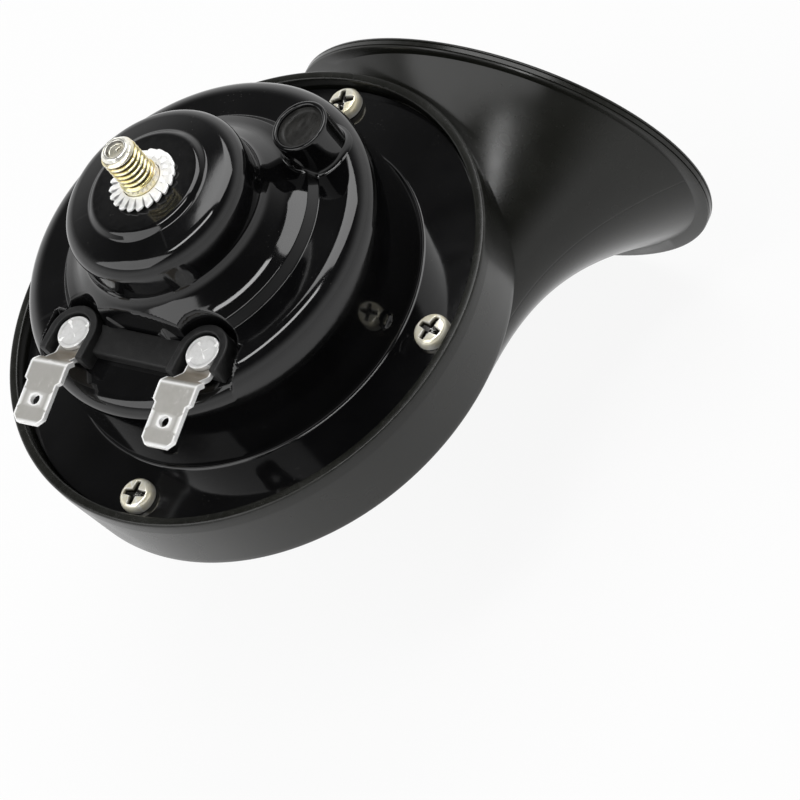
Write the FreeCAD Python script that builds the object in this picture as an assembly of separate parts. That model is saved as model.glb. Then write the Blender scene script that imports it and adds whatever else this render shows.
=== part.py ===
"""Car horn, trumpet type, with a fixing stud on its back and two spade terminals.

Sizes are in millimetres. The origin is on the stud's axis, in the face of the cover's cap
that a bracket bears on. +Z runs out along the stud, +X runs out through the bell's mouth,
and the terminals point to -X.
"""
import FreeCAD, Part
import math
import os

Vector = FreeCAD.Vector
UP = Vector(0, 0, 1)
CENTRE = Vector(0, 0, 0)

# Fixing stud and lock washer
stud_radius = 3.0
stud_reach = 9.1
stud_chamfer = 0.6
stud_shank_radius = 3.25
stud_shank_reach = 2.0
stud_press_depth = 8.0
stud_dimple_radius = 1.2
stud_dimple_depth = 0.8
washer_body_radius = 4.7
washer_tooth_radius = 5.8
washer_thickness = 0.8
washer_tooth_width = 1.15
washer_tooth_twist = 20.0
washer_tooth_count = 20

# Back cover, one stamping of even thickness
sheet = 1.2
seat_radius = 9.9
seat_rise = 0.8
cap_radius = 16.0
cap_edge_drop = 1.5
cap_wall_foot = 9.2
tier_radius = 21.6
tier_height = 13.0
tier_foot_radius = 23.0
drum_top = 14.6
drum_radius = 31.2
drum_foot_radius = 32.0
drum_edge_round = 4.5
flange_depth = 33.5
flange_radius = 42.0
foot_round = 1.4
wall_dimple_radius = 1.6
wall_dimple_sink = 0.7
wall_dimple_rise = 4.1
wall_dimple_angle = -92.0

# Flat recess in the drum for the terminals
recess_sink = 2.5
recess_lead = 2.5
recess_half_width = 19.0
recess_edge_round = 2.5
terminal_inset = 10.7
terminal_skew = 0.6
terminal_mid_y = -1.4
terminal_half_spacing = 13.2
collar_pocket_radius = 5.3

# Terminals, their rivets and their insulators. Reaches are measured from a rivet's axis
blade_width = 6.3
blade_thickness = 0.8
blade_reach = 17.1
blade_tip_chamfer = 1.15
blade_hole_radius = 0.9
blade_hole_reach = 13.0
blade_shoulder_reach = 9.7
shoulder_width = 7.6
neck_width = 5.2
neck_reach = 5.4
blade_rise = 2.8
blade_droop = 1.6
blade_turn = 1.6
bend_start_reach = 3.5
bend_end_reach = 6.6
bend_round = 1.0
tab_radius = 2.9
insulator_base = 1.0
insulator_wall = 1.4
collar_radius = 4.7
collar_height = 3.5
collar_leg = 4.4
bar_width = 5.2
bar_height = 1.9
bar_gap = 0.2
insulator_inset = 1.2
spigot_radius = 2.5
rivet_shank_radius = 1.5
rivet_head_radius = 3.0
rivet_head_height = 1.2
clench_radius = 2.4
clench_height = 0.8
inner_insulator = 1.0
inner_insulator_width = 7.4

# Adjusting screw in its drawn collar
adjuster_x = 18.6
adjuster_y = -16.1
adjuster_collar_radius = 4.8
adjuster_collar_height = 7.0
adjuster_bore_radius = 3.6
adjuster_thread_gap = 0.05
adjuster_length = 7.0
adjuster_slot_width = 0.9
adjuster_slot_depth = 1.2
adjuster_tip_radius = 1.4
seal_sink = 0.9
seal_thickness = 1.6

# Magnet
core_radius = 7.0
core_head_radius = 8.7
core_head_height = 2.2
core_depth = 27.6
bobbin_flange_radius = 14.2
bobbin_flange = 1.2
bobbin_tube = 1.1
bobbin_length = 15.2
bobbin_gap = 0.1
winding_radius = 13.5
winding_gap = 0.05
air_gap = 0.8
armature_radius = 7.0
armature_flange_radius = 9.8
armature_flange = 2.0
armature_rivet_radius = 2.5
armature_rivet_length = 4.0
armature_rivet_head_radius = 4.2
armature_rivet_head = 1.6
armature_washer_radius = 7.5
armature_washer = 1.0

# Contact set
contact_width = 6.0
spring_thickness = 0.4
spring_end_x = 21.5
contact_spacer = 1.5
bracket_thickness = 1.0
bracket_end_x = 10.0
bracket_inset = 0.8
contact_x = 7.0
contact_radius = 1.8
spring_tongue_width = 6.0
spring_tongue_end_y = -7.9
tongue_gap = 0.2
lower_spacer = 0.8
lead_radius = 0.5
left_lead_start_x = -8.0
left_lead_start_y = 8.0
left_lead_bend_x = -13.0
left_lead_bend_y = 10.5
right_lead_start_x = -9.0
right_lead_start_y = -7.0
right_lead_bend_x = -12.0
right_lead_end_x = -16.0
right_lead_swing = 2.0
lead_drop = 0.3
eyelet_radius = 3.2
eyelet_thickness = 0.5

# Diaphragm and gaskets
gasket = 0.4
gasket_inner_radius = 33.6
diaphragm_sheet = 0.4
diaphragm_rib_radius = 22.0
diaphragm_rib_half_width = 3.0
diaphragm_rib_rise = 0.5
clamped_radius = 41.8

# Flange screws
screw_circle_radius = 38.5
screw_radius = 2.0
screw_hole_radius = 2.2
screw_length = 7.0
screw_head_radius = 3.0
screw_head_height = 2.1
screw_cross_length = 3.4
screw_cross_width = 0.8
screw_cross_depth = 1.2
screw_boss_radius = 3.6
screw_boss_depth = 8.0

# Trumpet body. Its depths are measured from the flange, and the duct's from the body
rim_rise = 2.4
rim_radius = 44.0
rim_play = 0.3
skirt_radius = 43.0
skirt_length = 12.1
skirt_wall = 2.0
body_seat_radius = 34.0
chamber_edge = 0.9
chamber_throat_radius = 8.0
chamber_room = 4.1
plate_thickness = 2.0
parting_drop = 6.6
duct_wall = 2.0
throat_radius = 4.2
throat_length = 4.0

# Duct: from the throat once round to the start of the bell
duct_start_radius = 4.6
duct_start_width = 6.6
duct_start_height = 6.5
duct_end_radius = 28.1
duct_end_width = 11.8
duct_end_height = 9.2

# Bell
mouth_x = 50.0
mouth_y = -14.2
mouth_drop = 11.35
mouth_width = 40.3
mouth_height = 30.4
mouth_wall = 3.2
width_flare = 2.57
height_flare = 2.4
side_bend = 1.5
depth_bend = 1.2
lip_length = 2.2

# Sizes that follow from the ones above
wall_dimple_depth = flange_depth - wall_dimple_rise
recess_depth = drum_top + recess_sink
flange_under = flange_depth + sheet
diaphragm_top = flange_under + gasket
diaphragm_under = diaphragm_top + diaphragm_sheet
body_seat = diaphragm_under + gasket
rim_height = flange_depth - rim_rise
skirt_depth = flange_depth + skirt_length
chamber_depth = body_seat + chamber_room
parting_depth = chamber_depth + parting_drop
throat_floor = parting_depth + throat_length
mouth_depth = parting_depth + mouth_drop
tab_top = recess_depth - insulator_base - blade_thickness
rivet_foot = recess_depth + sheet + inner_insulator
core_top = sheet
bobbin_top = core_top + core_head_height
bobbin_foot = bobbin_top + bobbin_length
armature_top = core_depth + air_gap
spring_top = rivet_foot
spring_under = spring_top + spring_thickness
bracket_top = spring_under + contact_spacer
bracket_under = bracket_top + bracket_thickness
adjuster_rim = drum_top - adjuster_collar_height
adjuster_head = adjuster_rim + seal_sink + seal_thickness
terminal_x = terminal_inset - drum_radius
recess_inner_x = terminal_x + recess_lead
left_x = terminal_x - terminal_skew
left_y = terminal_mid_y + terminal_half_spacing
right_x = terminal_x + terminal_skew
right_y = terminal_mid_y - terminal_half_spacing
terminal_places = ((left_x, left_y), (right_x, right_y))
recess_foot = recess_depth + recess_edge_round + sheet
beyond = 2 * mouth_x
screw_angles = (0, 90, 180, 270)


def shifted(points, distance):
    """Return an open polyline moved sideways, to the right of its travel."""
    lines = []
    for (a, b), (c, d) in zip(points, points[1:]):
        length = math.hypot(c - a, d - b)
        nx, ny = (d - b) / length, (a - c) / length
        lines.append(((a + nx * distance, b + ny * distance), (c - a, d - b)))
    moved = [lines[0][0]]
    for (p, u), (q, v) in zip(lines, lines[1:]):
        cross = u[0] * v[1] - u[1] * v[0]
        t = ((q[0] - p[0]) * v[1] - (q[1] - p[1]) * v[0]) / cross
        moved.append((p[0] + u[0] * t, p[1] + u[1] * t))
    end, direction = lines[-1]
    moved.append((end[0] + direction[0], end[1] + direction[1]))
    return moved


def turn(before, corner, after):
    """Return the signed angle turned at a corner, positive to the left."""
    u = (corner[0] - before[0], corner[1] - before[1])
    v = (after[0] - corner[0], after[1] - corner[1])
    return math.atan2(u[0] * v[1] - u[1] * v[0], u[0] * v[0] + u[1] * v[1])


def rounded_edges(points, radii):
    """Return the edges of an open polyline in the XZ plane with its corners rounded."""
    edges = []
    start = points[0]
    for i in range(1, len(points) - 1):
        before, corner, after = points[i - 1], points[i], points[i + 1]
        angle = abs(turn(before, corner, after))
        reach_in = math.dist(before, corner)
        reach_out = math.dist(corner, after)
        trim = min(radii[i - 1] * math.tan(angle / 2), 0.45 * reach_in, 0.45 * reach_out)
        radius = trim / math.tan(angle / 2)
        first = (
            corner[0] + (before[0] - corner[0]) * trim / reach_in,
            corner[1] + (before[1] - corner[1]) * trim / reach_in,
        )
        last = (
            corner[0] + (after[0] - corner[0]) * trim / reach_out,
            corner[1] + (after[1] - corner[1]) * trim / reach_out,
        )
        to_middle = ((first[0] + last[0]) / 2 - corner[0], (first[1] + last[1]) / 2 - corner[1])
        reach = math.hypot(*to_middle)
        peak = radius / math.cos(angle / 2) - radius
        middle = (corner[0] + to_middle[0] * peak / reach, corner[1] + to_middle[1] * peak / reach)
        edges.append(Part.makeLine(in_plane(start), in_plane(first)))
        edges.append(Part.Arc(in_plane(first), in_plane(middle), in_plane(last)).toShape())
        start = last
    edges.append(Part.makeLine(in_plane(start), in_plane(points[-1])))
    return edges


def in_plane(point):
    """Return a pair as a point of the XZ plane."""
    return Vector(point[0], 0, point[1])


def sheet_face(points, radii, thickness):
    """Return the section of a bent sheet whose outer side follows the rounded polyline."""
    inner = shifted(points, thickness)
    inner_radii = []
    for i, radius in enumerate(radii):
        side = 1 if turn(*points[i:i + 3]) > 0 else -1
        inner_radii.append(max(radius + side * thickness, 0.2))
    outer_edges = rounded_edges(points, radii)
    inner_edges = rounded_edges(inner, inner_radii)
    caps = [
        Part.makeLine(in_plane(points[0]), in_plane(inner[0])),
        Part.makeLine(in_plane(points[-1]), in_plane(inner[-1])),
    ]
    return Part.Face(Part.Wire(Part.__sortEdges__(outer_edges + inner_edges + caps)))


def filled_face(points, radii, floor):
    """Return the area between a rounded polyline, the Z axis and a floor."""
    edges = rounded_edges(points, radii)
    corners = [points[-1], (points[-1][0], floor), (points[0][0], floor), points[0]]
    for a, b in zip(corners, corners[1:]):
        edges.append(Part.makeLine(in_plane(a), in_plane(b)))
    return Part.Face(Part.Wire(Part.__sortEdges__(edges)))


def revolved(face):
    """Return a face of the XZ plane turned round the Z axis."""
    return face.revolve(CENTRE, UP, 360)


def turned(points):
    """Return the solid turned round the Z axis from a closed polygon of (radius, height)."""
    return revolved(Part.Face(Part.makePolygon([in_plane(p) for p in points + points[:1]])))


def cylinder(radius, low, high, x=0.0, y=0.0):
    """Return an upright cylinder between two heights."""
    return Part.makeCylinder(radius, high - low, Vector(x, y, low))


def box(x, y, z):
    """Return a box from three pairs of limits."""
    return Part.makeBox(x[1] - x[0], y[1] - y[0], z[1] - z[0], Vector(x[0], y[0], z[0]))


def plan(points, low, high):
    """Return a plate with a polygon outline between two heights."""
    corners = [Vector(x, y, low) for x, y in points + points[:1]]
    return Part.Face(Part.makePolygon(corners)).extrude(Vector(0, 0, high - low))


def ring_of(shape, radius):
    """Return the shape placed at each flange screw."""
    copies = []
    for angle in screw_angles:
        copy = shape.copy()
        copy.translate(Vector(radius, 0, 0))
        copy.rotate(CENTRE, UP, angle)
        copies.append(copy)
    return copies


def fused(shapes):
    """Return one solid made of several."""
    whole = shapes[0].multiFuse(shapes[1:]).removeSplitter()
    return Part.Solid(whole.Solids[0]) if len(whole.Solids) == 1 else whole


def stadium(x0, x1, y, width, low, high):
    """Return a flat strip along X with round ends centred on x0 and x1."""
    ends = [cylinder(width / 2, low, high, x, y) for x in (x0, x1)]
    middle = box((min(x0, x1), max(x0, x1)), (y - width / 2, y + width / 2), (low, high))
    return fused([middle] + ends)


# Outline of the cover's outer side, from the seat round the stud out to the flange's edge
cover_outline = [
    (stud_shank_radius + 0.1, 0.0),
    (seat_radius, 0.0),
    (seat_radius + 0.4, -seat_rise),
    (cap_radius, -cap_edge_drop),
    (cap_radius, -cap_wall_foot),
    (tier_radius, -tier_height),
    (tier_foot_radius, -drum_top),
    (drum_radius, -drum_top),
    (drum_foot_radius, -flange_depth),
    (flange_radius, -flange_depth),
]
cover_rounds = [0.5, 0.4, 3.0, 3.0, 1.6, 0.8, drum_edge_round, foot_round]


def recess_prism(grow):
    """Return the terminal recess's outline as a prism, grown sideways by a distance."""
    low, high = -recess_foot, -cap_wall_foot + sheet
    half = recess_half_width + grow
    block = box(
        (-beyond, recess_inner_x + grow), (terminal_mid_y - half, terminal_mid_y + half), (low, high)
    )
    pockets = [
        cylinder(collar_pocket_radius + grow, low, high, x, y) for x, y in terminal_places
    ]
    return fused([block] + pockets)


def lowered_drum(inset):
    """Return the drum filled solid, with its top at the floor of the terminal recess."""
    taper = (drum_foot_radius - drum_radius) / (flange_depth - drum_top)
    outline = [
        (0.0, -recess_depth),
        (drum_radius + taper * (recess_depth - drum_top), -recess_depth),
        (drum_foot_radius, -flange_depth),
    ]
    if inset:
        outline = shifted(outline, inset)
    return revolved(filled_face(outline, [recess_edge_round - inset], -flange_depth - beyond))


def terminal_recess():
    """Return the floor and the step of the terminal recess as stamped sheet."""
    outer, inner = lowered_drum(0), lowered_drum(sheet)
    floor = outer.cut(inner).common(recess_prism(sheet))
    step = recess_prism(sheet).cut(recess_prism(0)).cut(inner)
    within = revolved(filled_face(cover_outline, cover_rounds, -flange_depth - beyond))
    return fused([floor, step.common(within)])


def back_cover():
    """Return the stamped cover with its screw holes, terminal recess and drawn collar."""
    cover = revolved(sheet_face(cover_outline, cover_rounds, sheet))
    cover = cover.cut(recess_prism(0).cut(lowered_drum(0)))
    collar = cylinder(
        adjuster_collar_radius, -drum_top - sheet, -adjuster_rim, adjuster_x, adjuster_y
    )
    cover = fused([cover, terminal_recess(), collar])
    holes = ring_of(cylinder(screw_hole_radius, -flange_under - 1, 0), screw_circle_radius)
    holes.append(
        cylinder(adjuster_bore_radius, -drum_top - sheet - 4, 0, adjuster_x, adjuster_y)
    )
    for x, y in terminal_places:
        holes.append(cylinder(spigot_radius, -recess_depth - 3, -recess_depth + 1, x, y))
    angle = math.radians(wall_dimple_angle)
    reach = drum_foot_radius + wall_dimple_radius - wall_dimple_sink
    place = Vector(reach * math.cos(angle), reach * math.sin(angle), -wall_dimple_depth)
    holes.append(Part.makeSphere(wall_dimple_radius, place))
    for hole in holes:
        cover = cover.cut(hole)
    return cover


def mounting_stud():
    """Return the fixing stud: a pressed-in shank and a plain end of the thread's radius."""
    tip = stud_reach
    stud = turned([
        (0, -stud_press_depth),
        (stud_shank_radius, -stud_press_depth),
        (stud_shank_radius, stud_shank_reach),
        (stud_radius, stud_shank_reach),
        (stud_radius, tip - stud_chamfer),
        (stud_radius - stud_chamfer, tip),
        (0, tip),
    ])
    dimple = Part.makeCone(
        0, stud_dimple_radius, stud_dimple_depth, Vector(0, 0, tip - stud_dimple_depth)
    )
    return stud.cut(dimple)


def tooth_washer():
    """Return the external-tooth lock washer, its teeth twisted out of flat."""
    twist = math.radians(washer_tooth_twist)
    half_height = (
        washer_thickness * math.cos(twist) + washer_tooth_width * math.sin(twist)
    ) / 2
    middle = half_height
    low = middle - washer_thickness / 2
    body = cylinder(washer_body_radius, low, low + washer_thickness)
    reach = washer_tooth_radius - washer_body_radius + 0.5
    tooth = box(
        (0, reach),
        (-washer_tooth_width / 2, washer_tooth_width / 2),
        (-washer_thickness / 2, washer_thickness / 2),
    )
    tooth.rotate(CENTRE, Vector(1, 0, 0), washer_tooth_twist)
    tooth.translate(Vector(washer_body_radius - 0.5, 0, middle))
    teeth = []
    for i in range(washer_tooth_count):
        copy = tooth.copy()
        copy.rotate(CENTRE, UP, i * 360 / washer_tooth_count)
        teeth.append(copy)
    washer = fused([body] + teeth)
    return washer.cut(cylinder(stud_shank_radius + 0.15, -1, 3))


def pole_core():
    """Return the iron core with its head under the cap and a bore for the stud."""
    head = cylinder(core_head_radius, -core_top - core_head_height, -core_top)
    core = cylinder(core_radius, -core_depth, -core_top)
    return fused([head, core]).cut(cylinder(stud_shank_radius, -stud_press_depth, 1))


def coil_bobbin():
    """Return the moulded bobbin."""
    inner = core_radius + bobbin_gap
    outer = inner + bobbin_tube
    low, high = -bobbin_foot, -bobbin_top
    return turned([
        (inner, low),
        (bobbin_flange_radius, low),
        (bobbin_flange_radius, low + bobbin_flange),
        (outer, low + bobbin_flange),
        (outer, high - bobbin_flange),
        (bobbin_flange_radius, high - bobbin_flange),
        (bobbin_flange_radius, high),
        (inner, high),
    ])


def coil_winding():
    """Return the wire of the coil as one block."""
    inner = core_radius + bobbin_gap + bobbin_tube + winding_gap
    low = -bobbin_foot + bobbin_flange + winding_gap
    high = -bobbin_top - bobbin_flange - winding_gap
    return cylinder(winding_radius, low, high).cut(cylinder(inner, low - 1, high + 1))


def armature():
    """Return the armature that stands on the diaphragm, bored for its rivet."""
    body = cylinder(armature_radius, -diaphragm_top, -armature_top)
    flange = cylinder(armature_flange_radius, -diaphragm_top, -diaphragm_top + armature_flange)
    bore = cylinder(
        armature_rivet_radius, -diaphragm_top - 1, -diaphragm_top + armature_rivet_length
    )
    return fused([body, flange]).cut(bore)


def armature_washer_disc():
    """Return the washer under the diaphragm."""
    low = -diaphragm_under - armature_washer
    disc = cylinder(armature_washer_radius, low, -diaphragm_under)
    return disc.cut(cylinder(armature_rivet_radius, low - 1, -diaphragm_under + 1))


def armature_rivet():
    """Return the rivet that holds the armature, diaphragm and washer together."""
    top = -diaphragm_top + armature_rivet_length
    seat = -diaphragm_under - armature_washer
    return turned([
        (0, seat - armature_rivet_head),
        (armature_rivet_head_radius - 0.5, seat - armature_rivet_head),
        (armature_rivet_head_radius, seat - armature_rivet_head + 0.5),
        (armature_rivet_head_radius, seat),
        (armature_rivet_radius, seat),
        (armature_rivet_radius, top),
        (0, top),
    ])


def diaphragm():
    """Return the sprung steel disc with one raised ring."""
    rise = diaphragm_rib_rise
    top = -diaphragm_top
    near = diaphragm_rib_radius - diaphragm_rib_half_width
    far = diaphragm_rib_radius + diaphragm_rib_half_width
    outline = [
        (armature_rivet_radius, top),
        (near, top),
        (near + 2, top + rise),
        (far - 2, top + rise),
        (far, top),
        (clamped_radius, top),
    ]
    disc = revolved(sheet_face(outline, [0.8, 0.8, 0.8, 0.8], diaphragm_sheet))
    for hole in ring_of(cylinder(screw_hole_radius, top - 2, top + 2), screw_circle_radius):
        disc = disc.cut(hole)
    return disc


def gasket_ring(top):
    """Return one gasket below the given depth."""
    ring = cylinder(clamped_radius, -top - gasket, -top)
    ring = ring.cut(cylinder(gasket_inner_radius, -top - gasket - 1, -top + 1))
    for hole in ring_of(cylinder(screw_hole_radius, -top - 2, -top + 2), screw_circle_radius):
        ring = ring.cut(hole)
    return ring


def flange_screw(angle):
    """Return one pan-head screw with a cross recess, placed at its angle."""
    seat = -flange_depth
    top = seat + screw_head_height
    outline = [
        (0, top),
        (screw_head_radius * 0.55, top - 0.12),
        (screw_head_radius * 0.86, top - 0.55),
        (screw_head_radius, top - 1.2),
        (screw_head_radius, seat),
        (screw_radius, seat),
        (screw_radius, seat - screw_length + 1.0),
        (screw_radius * 0.45, seat - screw_length),
        (0, seat - screw_length),
    ]
    screw = turned(outline)
    half = screw_cross_length / 2
    wide = screw_cross_width / 2
    depth = (top - screw_cross_depth, top + 1)
    screw = screw.cut(box((-half, half), (-wide, wide), depth))
    screw = screw.cut(box((-wide, wide), (-half, half), depth))
    screw.translate(Vector(screw_circle_radius, 0, 0))
    screw.rotate(CENTRE, UP, angle)
    return screw


def spade_terminal(x, y):
    """Return one terminal: a tab under the rivet, an upward step and a blade."""
    tab_z = -tab_top
    tip_z = tab_z + blade_rise - blade_droop
    outline = [
        (-blade_reach, tip_z),
        (-bend_end_reach, tab_z + blade_rise),
        (-bend_start_reach, tab_z),
        (tab_radius, tab_z),
    ]
    strip = sheet_face(outline, [bend_round, bend_round], blade_thickness)
    strip.translate(Vector(0, -shoulder_width, 0))
    strip = strip.extrude(Vector(0, 2 * shoulder_width, 0))
    half_blade, half_shoulder, half_neck = blade_width / 2, shoulder_width / 2, neck_width / 2
    one_side = [
        (0, half_neck),
        (-neck_reach, half_neck),
        (-neck_reach, half_shoulder),
        (-blade_shoulder_reach, half_shoulder),
        (-blade_shoulder_reach - 0.5, half_blade),
        (-blade_reach + blade_tip_chamfer, half_blade),
        (-blade_reach - 0.01, half_blade - blade_tip_chamfer),
    ]
    outline = one_side + [(along, -side) for along, side in reversed(one_side)]
    low, high = tab_z - blade_thickness - 2, tab_z + blade_rise + 2
    shape = fused([plan(outline, low, high), cylinder(tab_radius, low, high)])
    shape = shape.common(strip)
    shape = shape.cut(cylinder(rivet_shank_radius, low, high))
    shape = shape.cut(cylinder(blade_hole_radius, low, high, -blade_hole_reach))
    shape.rotate(CENTRE, UP, blade_turn)
    shape.translate(Vector(x, y, 0))
    return shape


def terminal_rivet(x, y, foot):
    """Return a terminal rivet with a domed head and a clenched foot below a depth."""
    seat = -tab_top
    rivet = turned([
        (0, seat + rivet_head_height),
        (rivet_head_radius * 0.6, seat + rivet_head_height * 0.9),
        (rivet_head_radius * 0.9, seat + rivet_head_height * 0.6),
        (rivet_head_radius, seat + rivet_head_height * 0.3),
        (rivet_head_radius, seat),
        (rivet_shank_radius, seat),
        (rivet_shank_radius, -foot),
        (clench_radius, -foot),
        (clench_radius - 0.4, -foot - clench_height),
        (0, -foot - clench_height),
    ])
    rivet.translate(Vector(x, y, 0))
    return rivet


def terminal_insulator():
    """Return the moulding with a horseshoe collar round each terminal and a bar between."""
    low = -recess_depth
    base = low + insulator_base
    high = low + collar_height
    side = collar_radius
    room = collar_radius - insulator_wall
    blocks = []
    hollows = []
    for x, y in terminal_places:
        leg_end = x - collar_leg
        blocks.append(cylinder(side, low, high, x, y))
        blocks.append(box((leg_end, x), (y - side, y + side), (low, high)))
        hollows.append(cylinder(room, base, high + 1, x, y))
        hollows.append(box((leg_end - 1, x), (y - room, y + room), (base, high + 1)))
    inner_x = recess_inner_x - bar_gap
    blocks.append(box((inner_x - bar_width, inner_x), (right_y, left_y), (low, low + bar_height)))
    whole = fused(blocks)
    for hollow in hollows:
        whole = whole.cut(hollow)
    edge = cylinder(drum_radius - insulator_inset, low - 1, high + 1)
    whole = whole.common(edge).cut(lowered_drum(0))
    spigots = [cylinder(spigot_radius, low - sheet, low + 0.5, x, y) for x, y in terminal_places]
    whole = fused([whole] + spigots)
    for x, y in terminal_places:
        whole = whole.cut(cylinder(rivet_shank_radius, low - 3, high, x, y))
    return whole


def inner_insulator_plate():
    """Return the insulating plate inside the drum, under the terminal recess."""
    low = -rivet_foot
    high = low + inner_insulator
    half = inner_insulator_width / 2
    ends = [cylinder(half, low, high, x, y) for x, y in terminal_places]
    middle = plan(
        [
            (left_x - half, left_y),
            (left_x + half, left_y),
            (right_x + half, right_y),
            (right_x - half, right_y),
        ],
        low, high,
    )
    plate = fused([middle] + ends).common(cylinder(drum_radius - recess_edge_round, low, high))
    for x, y in terminal_places:
        plate = plate.cut(cylinder(rivet_shank_radius, low - 1, high + 1, x, y))
    return plate


def adjusting_screw():
    """Return the slotted screw whose tip bears on the contact spring."""
    radius = adjuster_bore_radius - adjuster_thread_gap
    top = -adjuster_head
    body = cylinder(radius, top - adjuster_length, top, adjuster_x, adjuster_y)
    tip = cylinder(adjuster_tip_radius, -spring_top, top - adjuster_length, adjuster_x, adjuster_y)
    slot = box(
        (adjuster_x - radius, adjuster_x + radius),
        (adjuster_y - adjuster_slot_width / 2, adjuster_y + adjuster_slot_width / 2),
        (top - adjuster_slot_depth, top + 1),
    )
    return fused([body, tip]).cut(slot)


def sealing_plug():
    """Return the sealing compound over the adjusting screw."""
    return cylinder(
        adjuster_bore_radius, -adjuster_head, -adjuster_rim - seal_sink, adjuster_x, adjuster_y
    )


def contact_spring():
    """Return the spring leaf with the tongue that the armature lifts."""
    leaf = stadium(
        right_x, spring_end_x - contact_width / 2, right_y, contact_width,
        -spring_under, -spring_top,
    )
    leaf_edge = right_y + contact_width / 2
    foot = -diaphragm_top + armature_flange + tongue_gap + spring_thickness
    outline = [
        (leaf_edge - 1.0, -spring_top),
        (leaf_edge + 0.6, -spring_top),
        (spring_tongue_end_y - 2.4, foot),
        (spring_tongue_end_y, foot),
    ]
    tongue = sheet_face(outline, [0.6, 0.6], spring_thickness)
    tongue = tongue.extrude(Vector(0, spring_tongue_width, 0))
    tongue.translate(Vector(0, -spring_tongue_width / 2, 0))
    tongue.rotate(CENTRE, UP, 90)
    return fused([leaf, tongue]).cut(
        cylinder(rivet_shank_radius, -spring_under - 1, -spring_top + 1, right_x, right_y)
    )


def contact_bracket():
    """Return the stiff strip that carries the fixed contact."""
    strip = stadium(
        right_x, bracket_end_x - contact_width / 2, right_y, contact_width,
        -bracket_under, -bracket_top,
    )
    edge = right_y + contact_width / 2
    notch = box((-5, bracket_end_x + 1), (edge - bracket_inset, edge + 1), (-bracket_under, 0))
    hole = cylinder(
        rivet_shank_radius + 0.6, -bracket_under - 1, -bracket_top + 1, right_x, right_y
    )
    return strip.cut(notch).cut(hole)


def contact_spacer_ring():
    """Return the insulating washer and sleeve between the spring and the bracket."""
    ring = cylinder(contact_width / 2, -bracket_top, -spring_under, right_x, right_y)
    sleeve = cylinder(
        rivet_shank_radius + 0.6, -bracket_under, -bracket_top, right_x, right_y
    )
    bore = cylinder(rivet_shank_radius, -bracket_under - 1, 0, right_x, right_y)
    return fused([ring, sleeve]).cut(bore)


def contact_washer_ring():
    """Return the insulating washer under the bracket."""
    low = -bracket_under - lower_spacer
    ring = cylinder(contact_width / 2, low, -bracket_under, right_x, right_y)
    return ring.cut(cylinder(rivet_shank_radius, low - 1, 0, right_x, right_y))


def contact_button(low, high):
    """Return one contact point."""
    return cylinder(contact_radius, low, high, contact_x, right_y - bracket_inset / 2)


def wire(points):
    """Return a round wire through the points."""
    pieces = [Part.makeSphere(lead_radius, Vector(*p)) for p in points]
    for a, b in zip(points, points[1:]):
        start, end = Vector(*a), Vector(*b)
        pieces.append(Part.makeCylinder(lead_radius, (end - start).Length, start, end - start))
    return fused(pieces)


def coil_lead_left():
    """Return the lead from the coil to an eyelet on the left terminal rivet."""
    low = -rivet_foot - eyelet_thickness
    eyelet = cylinder(eyelet_radius, low, -rivet_foot, left_x, left_y)
    eyelet = eyelet.cut(cylinder(rivet_shank_radius, low - 1, 0, left_x, left_y))
    end = (left_x + clench_radius + lead_radius + 0.1, left_y, low - lead_drop)
    start = (left_lead_start_x, left_lead_start_y, -bobbin_foot - lead_radius)
    lead = wire([start, (left_lead_bend_x, left_lead_bend_y, low - lead_drop), end])
    return fused([eyelet, lead])


def coil_lead_right():
    """Return the lead from the coil to the contact bracket."""
    drop = -bobbin_foot - lead_radius
    side = right_y + contact_width / 2 + lead_radius
    middle = -(bracket_top + bracket_under) / 2
    return wire([
        (right_lead_start_x, right_lead_start_y, drop),
        (right_lead_bend_x, side + right_lead_swing, middle),
        (right_lead_end_x, side, middle),
    ])


def bell_section(s, wall):
    """Return the half width, half height and centre of the bell at a share of its length."""
    cut_back = wall * (duct_wall + (mouth_wall - duct_wall) * s)
    width = duct_end_width + (mouth_width - duct_end_width) * s ** width_flare - cut_back
    height = duct_end_height + (mouth_height - duct_end_height) * s ** height_flare - cut_back
    y = -duct_end_radius + (mouth_y + duct_end_radius) * s ** side_bend
    z = -parting_depth - (mouth_depth - parting_depth) * s ** depth_bend
    return width, height, Vector(mouth_x * s, y, z)


def oval(centre, across, width, height):
    """Return an oval wire of two arcs whose width runs along a level direction."""
    curve = Part.Ellipse(centre + across * width, centre + UP * height, centre)
    arcs = []
    for start, end in ((0, math.pi), (math.pi, 2 * math.pi)):
        arcs.append(Part.ArcOfEllipse(curve, start, end).toShape().toNurbs().Edges[0])
    return Part.Wire(arcs)


def duct_loft(wall):
    """Return the duct and bell filled solid, shrunk by the wall when wall is 1."""
    wires = []
    turns = 12
    for i in range(turns + 1):
        t = i / turns
        angle = math.radians(-450 + 360 * t)
        across = Vector(math.cos(angle), math.sin(angle), 0)
        radius = duct_start_radius + (duct_end_radius - duct_start_radius) * t
        width = duct_start_width + (duct_end_width - duct_start_width) * t - wall * duct_wall
        height = duct_start_height + (duct_end_height - duct_start_height) * t - wall * duct_wall
        centre = across * radius + Vector(0, 0, -parting_depth)
        wires.append(oval(centre, across, width, height))
    across = Vector(0, -1, 0)
    for s in (0.14, 0.28, 0.42, 0.56, 0.68, 0.78, 0.87, 0.94, 1.0):
        width, height, centre = bell_section(s, wall)
        wires.append(oval(centre, across, width, height))
    if wall:
        width, height, centre = bell_section(1.03, wall)
        wires.append(oval(centre, across, width, height))
    return Part.makeLoft(wires, True)


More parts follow.
